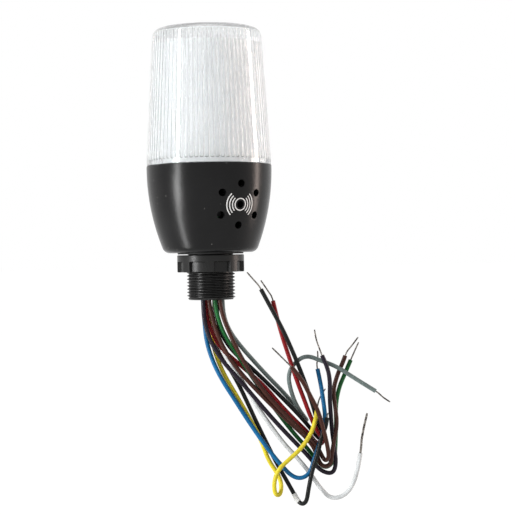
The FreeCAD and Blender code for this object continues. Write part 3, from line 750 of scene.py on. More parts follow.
class ShapeTree:
    """A Geometry Nodes tree with named inputs, which makes one plain mesh."""

    def __init__(self, name: str, numbers: dict[str, Number]) -> None:
        """Starts the tree.

        Args:
            name: what the tree is called.
            numbers: the tree's named inputs and the sizes that they are given; whole numbers are counts.
        """
        self.group = bpy.data.node_groups.new(name, "GeometryNodeTree")
        self.group.interface.new_socket(name="Geometry", in_out="INPUT", socket_type="NodeSocketGeometry")
        self.values: dict[str, Any] = {}
        for label, value in numbers.items():
            kind = "NodeSocketInt" if isinstance(value, int) else "NodeSocketFloat"
            made = self.group.interface.new_socket(name=label, in_out="INPUT", socket_type=kind)
            self.values[made.identifier] = value
        finish = self.group.interface.new_socket(
            name="Finish", in_out="INPUT", socket_type="NodeSocketMaterial"
        )
        self.finish = finish.identifier
        self.group.interface.new_socket(name="Geometry", in_out="OUTPUT", socket_type="NodeSocketGeometry")
        self.tree = Tree(self.group)
        self.entry = self.tree.node("NodeGroupInput")

    def size(self, label: str) -> Signal:
        """Returns one named input as a Signal."""
        return self.tree.signal(self.entry, label)

    def sheet(self, columns: str, rows: str) -> tuple[bpy.types.NodeSocket, Signal, Signal]:
        """Adds a flat grid that is one metre square.

        Args:
            columns: the input that counts its vertices from left to right.
            rows: the input that counts them from bottom to top.

        Returns:
            The grid, and how far each vertex is across and up it, from 0 to 1.
        """
        grid = self.tree.node(
            "GeometryNodeMeshGrid",
            None,
            {
                "Size X": 1.0,
                "Size Y": 1.0,
                "Vertices X": self.size(columns),
                "Vertices Y": self.size(rows),
            },
        )
        spot = self.tree.node("GeometryNodeInputPosition")
        across, up, _ = self.tree.axes(spot.outputs[0])
        return grid.outputs["Mesh"], across + 0.5, up + 0.5

    def close(self, mesh: bpy.types.NodeSocket, angle: Signal, radius: Signal, level: Signal) -> None:
        """Wraps the grid round the axis and ends the tree.

        Args:
            mesh: the grid.
            angle: where each vertex goes round the axis, in radians.
            radius: how far it is from the axis.
            level: its height.
        """
        spot = self.tree.node(
            "ShaderNodeCombineXYZ", None, {0: radius * angle.cosine(), 1: radius * angle.sine(), 2: level}
        )
        moved = self.tree.node(
            "GeometryNodeSetPosition", None, {"Geometry": mesh, "Position": spot.outputs[0]}
        )
        whole = self.tree.node("GeometryNodeRealizeInstances", None, {0: moved.outputs[0]})
        dressed = self.tree.node(
            "GeometryNodeSetMaterial",
            None,
            {"Geometry": whole.outputs[0], "Material": self.entry.outputs["Finish"]},
        )
        self.tree.node("NodeGroupOutput", None, {0: dressed.outputs[0]})

    def mesh(self, material: bpy.types.Material) -> bpy.types.Mesh:
        """Runs the tree.

        Args:
            material: the finish that it puts on its faces.

        Returns:
            The plain mesh that it makes.
        """
        holder = bpy.data.objects.new("holder", bpy.data.meshes.new("holder"))
        bpy.context.scene.collection.objects.link(holder)
        modifier = holder.modifiers.new("shape", "NODES")
        modifier.node_group = self.group
        for identifier, value in self.values.items():
            modifier[identifier] = value
        modifier[self.finish] = material
        graph = bpy.context.evaluated_depsgraph_get()
        made = bpy.data.meshes.new_from_object(holder.evaluated_get(graph))
        holder.modifiers.remove(modifier)
        bpy.data.objects.remove(holder)
        return made


Ring = list[bmesh.types.BMVert]


class Shell:
    """A closed surface round the Z axis, put together ring by ring."""

    def __init__(self) -> None:
        """Starts with nothing."""
        self.mesh = bmesh.new()

    def take(self, mesh: bpy.types.Mesh) -> None:
        """Adds a mesh and closes its seam.

        Args:
            mesh: the mesh, whose two sides meet in a seam.
        """
        self.mesh.from_mesh(mesh)
        bmesh.ops.remove_doubles(self.mesh, verts=self.mesh.verts, dist=WELD)

    def rim(self, level: float) -> Ring:
        """Finds an open edge.

        Args:
            level: its height.

        Returns:
            Its vertices in the order of their angles, from 0 up.
        """
        found = [v for v in self.mesh.verts if v.is_boundary and abs(v.co.z - level) < LEVEL_PLAY]
        return sorted(found, key=lambda v: (math.atan2(v.co.y, v.co.x) + ANGLE_PLAY) % TURN)

    def ring(self, radius: float, level: float, columns: int) -> Ring:
        """Adds a ring of vertices.

        Args:
            radius: its radius.
            level: its height.
            columns: how many vertices it has.

        Returns:
            The vertices, in the order of their angles.
        """
        return [
            self.mesh.verts.new((
                radius * math.cos(TURN * i / columns),
                radius * math.sin(TURN * i / columns),
                level,
            ))
            for i in range(columns)
        ]

    def join(self, first: Ring, second: Ring) -> None:
        """Closes the gap between two rings, of which one may have several times as many vertices.

        Args:
            first: one ring.
            second: the other ring.
        """
        many, few = (first, second) if len(first) >= len(second) else (second, first)
        step = len(many) // len(few)
        for i in range(len(few)):
            run = [many[(i * step + k) % len(many)] for k in range(step, -1, -1)]
            self.mesh.faces.new([few[i], few[(i + 1) % len(few)], *run])

    def lathe(self, profile: Iterable[Corner], columns: int, start: Optional[Ring] = None) -> Ring:
        """Adds a run of rings.

        Args:
            profile: the radius and height of each ring.
            columns: how many vertices each has.
            start: the ring that the first one is joined to.

        Returns:
            The last ring.
        """
        last = start
        for radius, level in profile:
            made = self.ring(radius, level, columns)
            if last is not None:
                self.join(last, made)
            last = made
        return last

    def pole(self, ring: Ring, level: float) -> None:
        """Closes a ring with a fan.

        Args:
            ring: the ring.
            level: the height of the fan's middle.
        """
        middle = self.mesh.verts.new((0.0, 0.0, level))
        for i, vertex in enumerate(ring):
            self.mesh.faces.new([vertex, ring[(i + 1) % len(ring)], middle])

    def finish(self, name: str, material: bpy.types.Material, crease: float = 35.0) -> bpy.types.Object:
        """Ends the shell.

        Args:
            name: what the object is called.
            material: its finish.
            crease: the angle past which an edge stays sharp, in degrees.

        Returns:
            The object, with its faces outwards.
        """
        bmesh.ops.recalc_face_normals(self.mesh, faces=self.mesh.faces)
        if self.mesh.calc_volume(signed=True) < 0:
            bmesh.ops.reverse_faces(self.mesh, faces=self.mesh.faces)
        return solid(name, self.mesh, material, crease)


def solid(
    name: str, shape: bmesh.types.BMesh, material: bpy.types.Material, crease: float = 35.0
) -> bpy.types.Object:
    """Turns a worked mesh into an object.

    Args:
        name: what the object is called.
        shape: the mesh, which is used up.
        material: its finish.
        crease: the angle past which an edge stays sharp, in degrees.

    Returns:
        The object, smooth between its creases.
    """
    mesh = bpy.data.meshes.new(name)
    for face in shape.faces:
        face.material_index = 0
    shape.to_mesh(mesh)
    shape.free()
    mesh.materials.clear()
    mesh.materials.append(material)
    mesh.polygons.foreach_set("use_smooth", [True] * len(mesh.polygons))
    mesh.set_sharp_from_angle(angle=math.radians(crease))
    made = bpy.data.objects.new(name, mesh)
    bpy.context.scene.collection.objects.link(made)
    return made


def dress(node: str, material: bpy.types.Material) -> None:
    """Gives a node of the frame its finish.

    Args:
        node: the node's name.
        material: the finish.
    """
    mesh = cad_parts[node].data
    if not mesh.materials:
        mesh.materials.append(material)
    for i in range(len(mesh.materials)):
        mesh.materials[i] = material
    LOG.info("%s: %s", node, material.name)


def place(piece: bpy.types.Object, body: Body, slot: str, *nodes: str) -> bpy.types.Object:
    """Puts a finished piece on its body.

    Args:
        piece: the piece.
        body: the body that it rides on.
        slot: not used.
        nodes: the nodes of the frame that it stands for.

    Returns:
        The piece.
    """
    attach(piece, body.value)
    if nodes:
        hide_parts(*nodes)
    LOG.info("%s: on %s, for %s", piece.name, body.value, ", ".join(nodes) or "nothing in the frame")
    return piece


def metres(route: list[Point]) -> list[Point]:
    """Returns a route in metres that is given in millimetres."""
    return [(across * MM, deep * MM, up * MM) for across, deep, up in route]


def spline_curve(name: str, route: list[Point]) -> bpy.types.Object:
    """Makes a smooth curve along a route.

    Args:
        name: what the object is called.
        route: the control points.

    Returns:
        The curve, one open NURBS spline without thickness.
    """
    curve = bpy.data.curves.new(name, "CURVE")
    curve.dimensions = "3D"
    curve.resolution_u = 16
    spline = curve.splines.new("NURBS")
    spline.points.add(len(route) - 1)
    for point, spot in zip(spline.points, route):
        point.co = (*spot, 1.0)
    spline.order_u = 3
    spline.use_endpoint_u = True
    made = bpy.data.objects.new(name, curve)
    bpy.context.scene.collection.objects.link(made)
    return made


def walk(route: list[Point]) -> list[Vector]:
    """Reads the points of a route's smooth line.

    Args:
        route: the control points.

    Returns:
        Points along the line, from its start to its end.
    """
    helper = spline_curve("walk", route)
    bpy.context.view_layer.update()
    mesh = bpy.data.meshes.new_from_object(helper)
    line = [v.co.copy() for v in mesh.vertices]
    bpy.data.meshes.remove(mesh)
    bpy.data.objects.remove(helper)
    return line


def even(line: list[Vector], step: float) -> list[Vector]:
    """Spaces the points of a line evenly.

    Args:
        line: its points.
        step: the wanted distance between two points.

    Returns:
        The new points, with both ends kept.
    """
    reach = [0.0]
    for a, b in zip(line, line[1:]):
        reach.append(reach[-1] + (b - a).length)
    count = max(2, int(round(reach[-1] / step)))
    made, k = [], 0
    for i in range(count + 1):
        want = reach[-1] * i / count
        while k < len(line) - 2 and reach[k + 1] < want:
            k += 1
        span = reach[k + 1] - reach[k]
        made.append(line[k].lerp(line[k + 1], (want - reach[k]) / span if span > 0 else 0.0))
    return made


def frames(line: list[Vector]) -> list[tuple[Vector, Vector, Vector]]:
    """Finds two directions square to a line at each of its points, without twist.

    Args:
        line: its points.

    Returns:
        The direction along the line and two directions square to it, at each point.
    """
    made: list[tuple[Vector, Vector, Vector]] = []
    side: Optional[Vector] = None
    for i in range(len(line)):
        along = (line[min(i + 1, len(line) - 1)] - line[max(i - 1, 0)]).normalized()
        if side is None:
            side = along.orthogonal().normalized()
        side = (side - along * side.dot(along)).normalized()
        made.append((along, side, along.cross(side)))
    return made


def round_ring(shape: bmesh.types.BMesh, spot: Vector, side: Vector, other: Vector, sides: int) -> Ring:
    """Adds a ring of vertices round a point.

    Args:
        shape: the mesh.
        spot: the point.
        side: from the point to the first vertex.
        other: from the point to the vertex a quarter turn on.
        sides: how many vertices the ring has.

    Returns:
        The vertices.
    """
    turns = [TURN * k / sides for k in range(sides)]
    return [shape.verts.new(spot + side * math.cos(turn) + other * math.sin(turn)) for turn in turns]


def skin(shape: bmesh.types.BMesh, first: Ring, second: Ring) -> None:
    """Adds the faces between two rings of as many vertices.

    Args:
        shape: the mesh.
        first: one ring.
        second: the other ring.
    """
    for k in range(len(first)):
        n = (k + 1) % len(first)
        shape.faces.new([first[k], first[n], second[n], second[k]])


def add_tube(
    shape: bmesh.types.BMesh, line: list[Vector], radius: Callable[[float], float], sides: int
) -> None:
    """Adds a closed tube with rounded ends to a mesh.

    Args:
        shape: the mesh.
        line: the points that it follows.
        radius: its radius at a share of its length, from 0 to 1.
        sides: how many sides it has.
    """
    rings: list[Ring] = []
    for i, (spot, (_, side, other)) in enumerate(zip(line, frames(line))):
        size = radius(i / (len(line) - 1))
        rings.append(round_ring(shape, spot, side * size, other * size, sides))
    for first, second in zip(rings, rings[1:]):
        skin(shape, first, second)
    for ring, spot, back in ((rings[0], line[0], True), (rings[-1], line[-1], False)):
        tip = shape.verts.new(spot)
        for k in range(sides):
            n = (k + 1) % sides
            shape.faces.new([ring[n], ring[k], tip] if back else [ring[k], ring[n], tip])


def arc(
    middle: Corner, size: float, first: float, last: float, steps: int
) -> list[Corner]:
    """Works out an arc of a turned outline.

    Args:
        middle: the radius and height of the arc's middle.
        size: the radius of the arc.
        first: the angle that it starts at, in radians.
        last: the angle that it ends at.
        steps: how many steps it has.

    Returns:
        The radius and height of each of its points.
    """
    turns = [first + (last - first) * i / steps for i in range(steps + 1)]
    return [(middle[0] + size * math.cos(turn), middle[1] + size * math.sin(turn)) for turn in turns]


@dataclass
class Lens:
    """Clear tapered cup: smooth outside, with a row of upright flutes round the inside of its wall."""

    foot: float = 39.7 * MM
    top: float = 101.9 * MM
    foot_radius: float = 28.5 * MM
    top_radius: float = 24.75 * MM
    wall: float = 2.2 * MM
    edge: float = 3.7 * MM
    inner_edge: float = 0.3 * MM
    spigot_foot: float = 36.9 * MM
    spigot_outer: float = 26.2 * MM
    spigot_inner: float = 24.2 * MM
    ledge: float = 40.2 * MM
    rib_base: float = 42.0 * MM
    rib_end: float = 99.2 * MM
    head: float = 0.15 * MM
    ribs: int = 72
    flute_depth: float = 0.7 * MM
    flute_share: float = 0.82
    foot_band: float = 2.2 * MM
    head_band: float = 0.8 * MM
    foot_rows: float = 0.375
    side_rows: float = 0.375
    columns_per_rib: int = 12
    rows: int = 33
    outer_columns: int = 288

    def slope(self) -> float:
        """Returns how much the radius shrinks for each metre of height."""
        return (self.foot_radius - self.top_radius) / (self.top - self.foot)

    def outside(self, level: float) -> float:
        """Returns the radius of the outer side at a height."""
        return self.foot_radius - self.slope() * (level - self.foot)

    def fluted_wall(self, material: bpy.types.Material) -> bpy.types.Mesh:
        """Makes the inner wall with its flutes by a Geometry Nodes tree.

        Args:
            material: the finish of its faces.

        Returns:
            The open wall, from the foot of the flutes to just above their ends.
        """
        shape = ShapeTree("fluted_wall", {
            "Columns": self.ribs * self.columns_per_rib + 1,
            "Rows": self.rows,
            "Ribs": self.ribs,
            "Foot Level": self.rib_base,
            "Foot Radius": self.outside(self.rib_base) - self.wall,
            "Slope": self.slope(),
            "Foot Height": self.foot_band,
            "Side Height": self.rib_end - self.rib_base - self.foot_band - self.head_band,
            "Head Height": self.head_band + self.head,
            "Flute End": self.rib_end,
            "Flute Depth": self.flute_depth,
            "Flute Share": self.flute_share,
        })
        grid, across, up = shape.sheet("Columns", "Rows")
        angle = across * TURN
        lower_rows = self.foot_rows + self.side_rows
        level = (
            shape.size("Foot Level")
            + (up / self.foot_rows).held() * shape.size("Foot Height")
            + ((up - self.foot_rows) / self.side_rows).held() * shape.size("Side Height")
            + ((up - lower_rows) / (1.0 - lower_rows)).held() * shape.size("Head Height")
        )
        wall = shape.size("Foot Radius") - shape.size("Slope") * (level - shape.size("Foot Level"))
        pitch = wall * TURN / shape.size("Ribs")
        half = pitch * shape.size("Flute Share") * 0.5
        aside = abs((across * shape.size("Ribs") + 0.5).fraction() - 0.5) * pitch
        below = (shape.size("Foot Level") + half - level).larger(0.0)
        reach = ((aside * aside + below * below).root() / half).lesser(1.0)
        hollow = (1.0 - reach * reach).larger(0.0).root() * (level < shape.size("Flute End"))
        shape.close(grid, angle, wall + hollow * shape.size("Flute Depth"), level)
        return shape.mesh(material)

    def build(self) -> bpy.types.Object:
        """Returns the finished lens."""
        material = ClearPlastic("lens_clear").material()
        shell = Shell()
        shell.take(self.fluted_wall(material))
        lowest = shell.rim(self.rib_base)
        wall_top = self.rib_end + self.head
        highest = shell.rim(wall_top)
        lean = math.atan(self.slope())
        edge_level = self.top - self.edge
        outer_corner = arc(
            (self.outside(edge_level) - self.edge / math.cos(lean), edge_level),
            self.edge, lean, math.pi / 2, 10,
        )
        side = [
            (self.outside(level), level)
            for level in (self.foot + (edge_level - self.foot) * share / 8 for share in range(1, 8))
        ]
        flat = [(outer_corner[-1][0] * share, self.top) for share in (0.8, 0.55, 0.3, 0.12)]
        out = shell.lathe(
            [
                (self.outside(self.ledge) - self.wall, self.ledge),
                (self.spigot_inner, self.ledge - 0.05 * MM),
                (self.spigot_inner, self.spigot_foot),
                (self.spigot_outer, self.spigot_foot),
                (self.spigot_outer, self.foot),
                (self.foot_radius - 0.4 * MM, self.foot),
                (self.foot_radius - 0.12 * MM, self.foot + 0.1 * MM),
                (self.outside(self.foot + 0.4 * MM), self.foot + 0.4 * MM),
                *side, *outer_corner, *flat,
            ],
            self.outer_columns,
            lowest,
        )
        shell.pole(out, self.top)
        ceiling = self.top - self.wall
        inner_radius = self.outside(ceiling) - self.wall
        inner_corner = arc(
            (inner_radius - self.inner_edge, ceiling - self.inner_edge),
            self.inner_edge, 0.0, math.pi / 2, 5,
        )
        inner = shell.lathe(
            [*inner_corner, *((inner_corner[-1][0] * share, ceiling) for share in (0.75, 0.5, 0.25, 0.1))],
            self.outer_columns,
            highest,
        )
        shell.pole(inner, ceiling)
        piece = shell.finish("lens_moulding", material, 40.0)
        return place(piece, Body.LIGHT, "lens_clear", "lens")


@dataclass
class Stem:
    """Stem of the light: a right-hand M22 thread, its run-out groove, and the flange in the housing."""

    end: float = -21.4 * MM
    crest: float = 11.0 * MM
    pitch: float = 1.5 * MM
    depth: float = 0.92 * MM
    half_crest: float = 0.0625
    flank: float = 0.3125
    chamfer: float = 1.0 * MM
    thread_top: float = -2.0 * MM
    neck_low: float = -1.6 * MM
    neck_high: float = -0.8 * MM
    shoulder: float = -0.4 * MM
    neck: float = 10.2 * MM
    flange_foot: float = 3.5 * MM
    flange_top: float = 5.9 * MM
    flange: float = 12.8 * MM
    bore: float = 7.0 * MM
    columns: int = 128
    rows_per_turn: int = 16

    def thread(self, material: bpy.types.Material) -> bpy.types.Mesh:
        """Makes the threaded side by a Geometry Nodes tree.

        Args:
            material: the finish of its faces.

        Returns:
            The open side, from the end of the stem to its neck.
        """
        height = self.neck_low - self.end
        shape = ShapeTree("stem_thread", {
            "Columns": self.columns + 1,
            "Rows": int(round(height / self.pitch * self.rows_per_turn)) + 1,
            "End Level": self.end,
            "Height": height,
            "Crest Radius": self.crest,
            "Thread Depth": self.depth,
            "Pitch": self.pitch,
            "Chamfer": self.chamfer,
            "Thread Top": self.thread_top,
            "Run Out": (self.crest - self.neck) / (self.neck_low - self.thread_top),
        })
        grid, across, up = shape.sheet("Columns", "Rows")
        level = shape.size("End Level") + up * shape.size("Height")
        turn = (level / shape.size("Pitch") - across).fraction()
        beside = abs(turn - 0.5)
        fall = ((beside - self.half_crest) / self.flank).held()
        thread = shape.size("Crest Radius") - shape.size("Thread Depth") * fall
        cone = shape.size("Crest Radius") - shape.size("Chamfer") + (level - shape.size("End Level"))
        groove = shape.size("Crest Radius") - shape.size("Run Out") * (level - shape.size("Thread Top"))
        shape.close(grid, across * TURN, thread.lesser(cone).lesser(groove), level)
        return shape.mesh(material)

    def build(self) -> bpy.types.Object:
        """Returns the finished stem."""
        material = Moulding(
            "stem_dark", (0.005, 0.005, 0.005), rough=0.32, grain=1500.0, gloss=0.27, dust_and_glints=0.1
        ).material()
        shell = Shell()
        shell.take(self.thread(material))
        foot, head = shell.rim(self.end), shell.rim(self.neck_low)
        inner = shell.lathe(
            [
                (self.neck, self.neck_low + 0.05 * MM),
                (self.neck, self.neck_high),
                (self.crest, self.shoulder),
                (self.crest, self.flange_foot),
                (self.flange, self.flange_foot),
                (self.flange, self.flange_top),
                (self.bore + 0.3 * MM, self.flange_top),
                (self.bore, self.flange_top - 0.3 * MM),
                (self.bore, self.end + 0.5 * MM),
                (self.bore + 0.5 * MM, self.end),
            ],
            self.columns,
            head,
        )
        shell.join(inner, foot)
        piece = shell.finish("stem_moulding", material, 32.0)
        return place(piece, Body.LIGHT, "stem_dark", "threaded_stem")


@dataclass
class Housing:
    """Black cup of the sounder: bulging side, gasket recess, board posts and a ring of sound holes."""

    foot_radius: float = 20.9 * MM
    foot_round: float = 3.7 * MM
    rim_radius: float = 28.5 * MM
    rim: float = 39.7 * MM
    bulge: float = 100.0 * MM
    wall: float = 3.1 * MM
    rim_land: float = 2.1 * MM
    seat: float = 34.7 * MM
    seat_inside: float = 25.05 * MM
    foot_inside: float = 18.9 * MM
    floor: float = 3.5 * MM
    recess: float = 1.0 * MM
    recess_radius: float = 15.3 * MM
    stem_hole: float = 11.1 * MM
    post_ring: float = 16.0 * MM
    post_radius: float = 2.4 * MM
    post_top: float = 14.4 * MM
    screw_hole: float = 1.02 * MM
    posts: int = 3
    azimuth: float = math.radians(31.9)
    tilt: float = math.radians(10.0)
    sound_level: float = 21.0 * MM
    middle_hole: float = 1.6 * MM
    ring_hole: float = 1.7 * MM
    ring_upright: float = 9.3 * MM
    ring_aside: float = 10.0 * MM
    ring_holes: int = 6
    drill_length: float = 11.0 * MM
    break_edge: float = 0.2 * MM
    recess_break: float = 0.15 * MM
    post_columns: int = 32
    rounding_steps: int = 12
    side_steps: int = 44
    inside_steps: int = 16
    columns: int = 288

    def bulge_middle(self, low: Corner, high: Corner, size: float) -> Corner:
        """Finds the middle of the arc that bulges outwards between two points.

        Args:
            low: the radius and height of the lower point.
            high: those of the upper point.
            size: the radius of the arc.

        Returns:
            The radius and height of its middle.
        """
        across, up = high[0] - low[0], high[1] - low[1]
        chord = math.hypot(across, up)
        back = math.sqrt(size * size - chord * chord / 4) / chord
        return (low[0] + high[0]) / 2 - up * back, (low[1] + high[1]) / 2 + across * back

    def outline(self) -> list[Corner]:
        """Returns the radius and height of each corner of the turned cup."""
        out, level = self.bulge_middle((self.foot_radius, 0.0), (self.rim_radius, self.rim), self.bulge)
        rest = self.bulge - self.foot_round
        round_radius = out + math.sqrt(rest * rest - (self.foot_round - level) ** 2)
        turn = math.atan2(self.foot_round - level, round_radius - out)
        top_turn = math.asin((self.rim - self.break_edge - level) / self.bulge)
        low, high = (self.foot_inside, self.floor), (self.seat_inside, self.seat)
        size = self.bulge - self.wall
        inside, inside_level = self.bulge_middle(low, high, size)
        return [
            (self.stem_hole, self.recess),
            (self.recess_radius, self.recess),
            (self.recess_radius, self.recess_break),
            (self.recess_radius + self.recess_break, 0.0),
            *arc((round_radius, self.foot_round), self.foot_round, -math.pi / 2, turn, self.rounding_steps),
            *arc((out, level), self.bulge, turn, top_turn, self.side_steps)[1:],
            (self.rim_radius - self.break_edge, self.rim),
            (self.rim_radius - self.rim_land, self.rim),
            (self.rim_radius - self.rim_land, self.seat),
            *reversed(arc(
                (inside, inside_level), size,
                math.asin((self.floor - inside_level) / size),
                math.asin((self.seat - inside_level) / size),
                self.inside_steps,
            )),
            (self.stem_hole, self.floor),
        ]

    def facing(self) -> tuple[Vector, Vector, Vector]:
        """Returns the directions out of, to the right of and up the ring of sound holes."""
        out = Vector((
            math.sin(self.azimuth) * math.cos(self.tilt),
            -math.cos(self.azimuth) * math.cos(self.tilt),
            -math.sin(self.tilt),
        ))
        right = Vector((math.cos(self.azimuth), math.sin(self.azimuth), 0.0))
        return out, right, out.cross(right)

    def sound_middle(self) -> Vector:
        """Returns the middle of the ring of sound holes, on the outside of the cup."""
        out, level = self.bulge_middle((self.foot_radius, 0.0), (self.rim_radius, self.rim), self.bulge)
        radius = out + math.sqrt(self.bulge ** 2 - (self.sound_level - level) ** 2)
        return Vector((radius * math.sin(self.azimuth), -radius * math.cos(self.azimuth), self.sound_level))

    def drills(self) -> bpy.types.Object:
        """Returns the round bars that cut the sound holes."""
        out, right, up = self.facing()
        turn = Matrix((right, up, out)).transposed().to_4x4()
        spots = [(0.0, 0.0, self.middle_hole)]
        for k in range(self.ring_holes):
            angle = TURN * (k + 0.5) / self.ring_holes
            reach = self.ring_upright if k % 3 == 1 else self.ring_aside
            spots.append((reach * math.cos(angle), reach * math.sin(angle), self.ring_hole))
        shape = bmesh.new()
        for across, upward, radius in spots:
            middle = self.sound_middle() + right * across + up * upward - out * MM
            bmesh.ops.create_cone(
                shape, cap_ends=True, segments=48, radius1=radius, radius2=radius, depth=self.drill_length,
                matrix=Matrix.Translation(middle) @ turn,
            )
        mesh = bpy.data.meshes.new("drills")
        shape.to_mesh(mesh)
        shape.free()
        made = bpy.data.objects.new("drills", mesh)
        bpy.context.scene.collection.objects.link(made)
        return made

    def build(self) -> bpy.types.Object:
        """Returns the finished housing."""
        # The housing's pale specks are partly dust and partly painted glints of a speckled highlight.
        material = Moulding(
            "housing_black", (0.0042, 0.0042, 0.0044), rough=0.21, grain=1100.0, depth=0.00003, gloss=0.19,
            dust_and_glints=0.4,
        ).material()
        shell = Shell()
        outline = self.outline()
        first = shell.ring(*outline[0], self.columns)
        shell.join(shell.lathe(outline[1:], self.columns, first), first)
        blank = shell.finish("housing_blank", material)
        drills = self.drills()
        cut = blank.modifiers.new("sound_holes", "BOOLEAN")
        cut.operation, cut.solver, cut.object = "DIFFERENCE", "EXACT", drills
        graph = bpy.context.evaluated_depsgraph_get()
        mesh = bpy.data.meshes.new_from_object(blank.evaluated_get(graph))
        shape = bmesh.new()
        shape.from_mesh(mesh)
        for helper in (blank, drills):
            bpy.data.objects.remove(helper)
        for k in range(self.posts):
            angle = TURN * k / self.posts
            self.add_post(shape, self.post_ring * math.cos(angle), self.post_ring * math.sin(angle))
        piece = solid("housing_moulding", shape, material, 35.0)
        return place(piece, Body.LIGHT, "housing_black", "housing")

    def add_post(self, shape: bmesh.types.BMesh, across: float, deep: float) -> None:
        """Adds a board post with its screw hole.

        Args:
            shape: the mesh that gets it.
            across: where its middle is, along X.
            deep: where its middle is, along Y.
        """
        post = Shell()
        outline = [
            (self.screw_hole, self.floor), (self.post_radius, self.floor),
            (self.post_radius, self.post_top - self.break_edge),
            (self.post_radius - self.break_edge, self.post_top),
            (self.screw_hole, self.post_top),
        ]
        first = post.ring(*outline[0], self.post_columns)
        post.join(post.lathe(outline[1:], self.post_columns, first), first)
        bmesh.ops.recalc_face_normals(post.mesh, faces=post.mesh.faces)
        bmesh.ops.translate(post.mesh, verts=post.mesh.verts, vec=(across, deep, 0.0))
        mesh = bpy.data.meshes.new("post")
        post.mesh.to_mesh(mesh)
        post.mesh.free()
        shape.from_mesh(mesh)
        bpy.data.meshes.remove(mesh)


@dataclass
class LockNut:
    """Dark nylon lock nut: a plain collar above eight broad lugs with rounded edges."""

    top: float = -1.0 * MM
    foot: float = -8.8 * MM
    radius: float = 15.25 * MM
    collar: float = 3.1 * MM
    recess: float = 1.4 * MM
    lugs: int = 8
    lug_angle: float = 16.5
    lug_softness: float = 0.009
    collar_softness: float = 0.12 * MM
    edge: float = 0.4 * MM
    bore: float = 11.05 * MM
    bore_chamfer: float = 0.8 * MM
    columns: int = 480
    rows: int = 53

    def side(self, material: bpy.types.Material) -> bpy.types.Mesh:
        """Makes the outer side with its lugs by a Geometry Nodes tree.

        Args:
            material: the finish of its faces.

        Returns:
            The open side, from the foot of the nut to its top.
        """
        shape = ShapeTree("nut_side", {
            "Columns": self.columns + 1,
            "Rows": self.rows,
            "Foot Level": self.foot,
            "Height": self.top - self.foot,
            "Radius": self.radius,
            "Lugs": self.lugs,
            "Lug Half Share": self.lug_angle / 720.0 * self.lugs,
            "Recess Depth": self.recess,
            "Collar Foot": self.top - self.collar,
            "Edge Radius": self.edge,
        })
        grid, across, up = shape.sheet("Columns", "Rows")
        level = shape.size("Foot Level") + up * shape.size("Height")
        beside = abs((across * shape.size("Lugs") + 0.5).fraction() - 0.5)
        lug = 1.0 - (beside - shape.size("Lug Half Share")).eased(-self.lug_softness, self.lug_softness)
        under = 1.0 - (level - shape.size("Collar Foot")).eased(
            -self.collar_softness, self.collar_softness
        )
        low = (shape.size("Edge Radius") - (level - shape.size("Foot Level"))).larger(0.0)
        from_top = shape.size("Foot Level") + shape.size("Height") - level
        high = (shape.size("Edge Radius") - from_top).larger(0.0)
        drop = low.larger(high)
        rounding = shape.size("Edge Radius") - (
            shape.size("Edge Radius") * shape.size("Edge Radius") - drop * drop
        ).larger(0.0).root()
        radius = shape.size("Radius") - rounding - (1.0 - lug) * under * shape.size("Recess Depth")
        shape.close(grid, across * TURN, radius, level)
        return shape.mesh(material)

    def build(self) -> bpy.types.Object:
        """Returns the finished nut."""
        material = Moulding(
            "nut_dark", (0.009, 0.009, 0.0088), rough=0.3, grain=1500.0, gloss=0.22, dust_and_glints=0.15
        ).material()
        shell = Shell()
        shell.take(self.side(material))
        foot, head = shell.rim(self.foot), shell.rim(self.top)
        inner = shell.lathe(
            [
                (self.bore + self.bore_chamfer, self.top),
                (self.bore, self.top - self.bore_chamfer),
                (self.bore, self.foot + self.bore_chamfer),
                (self.bore + self.bore_chamfer, self.foot),
            ],
            self.columns,
            head,
        )
        shell.join(inner, foot)
        piece = shell.finish("lock_nut_moulding", material, 50.0)
        return place(piece, Body.NUT, "nut_dark", "lock_nut")


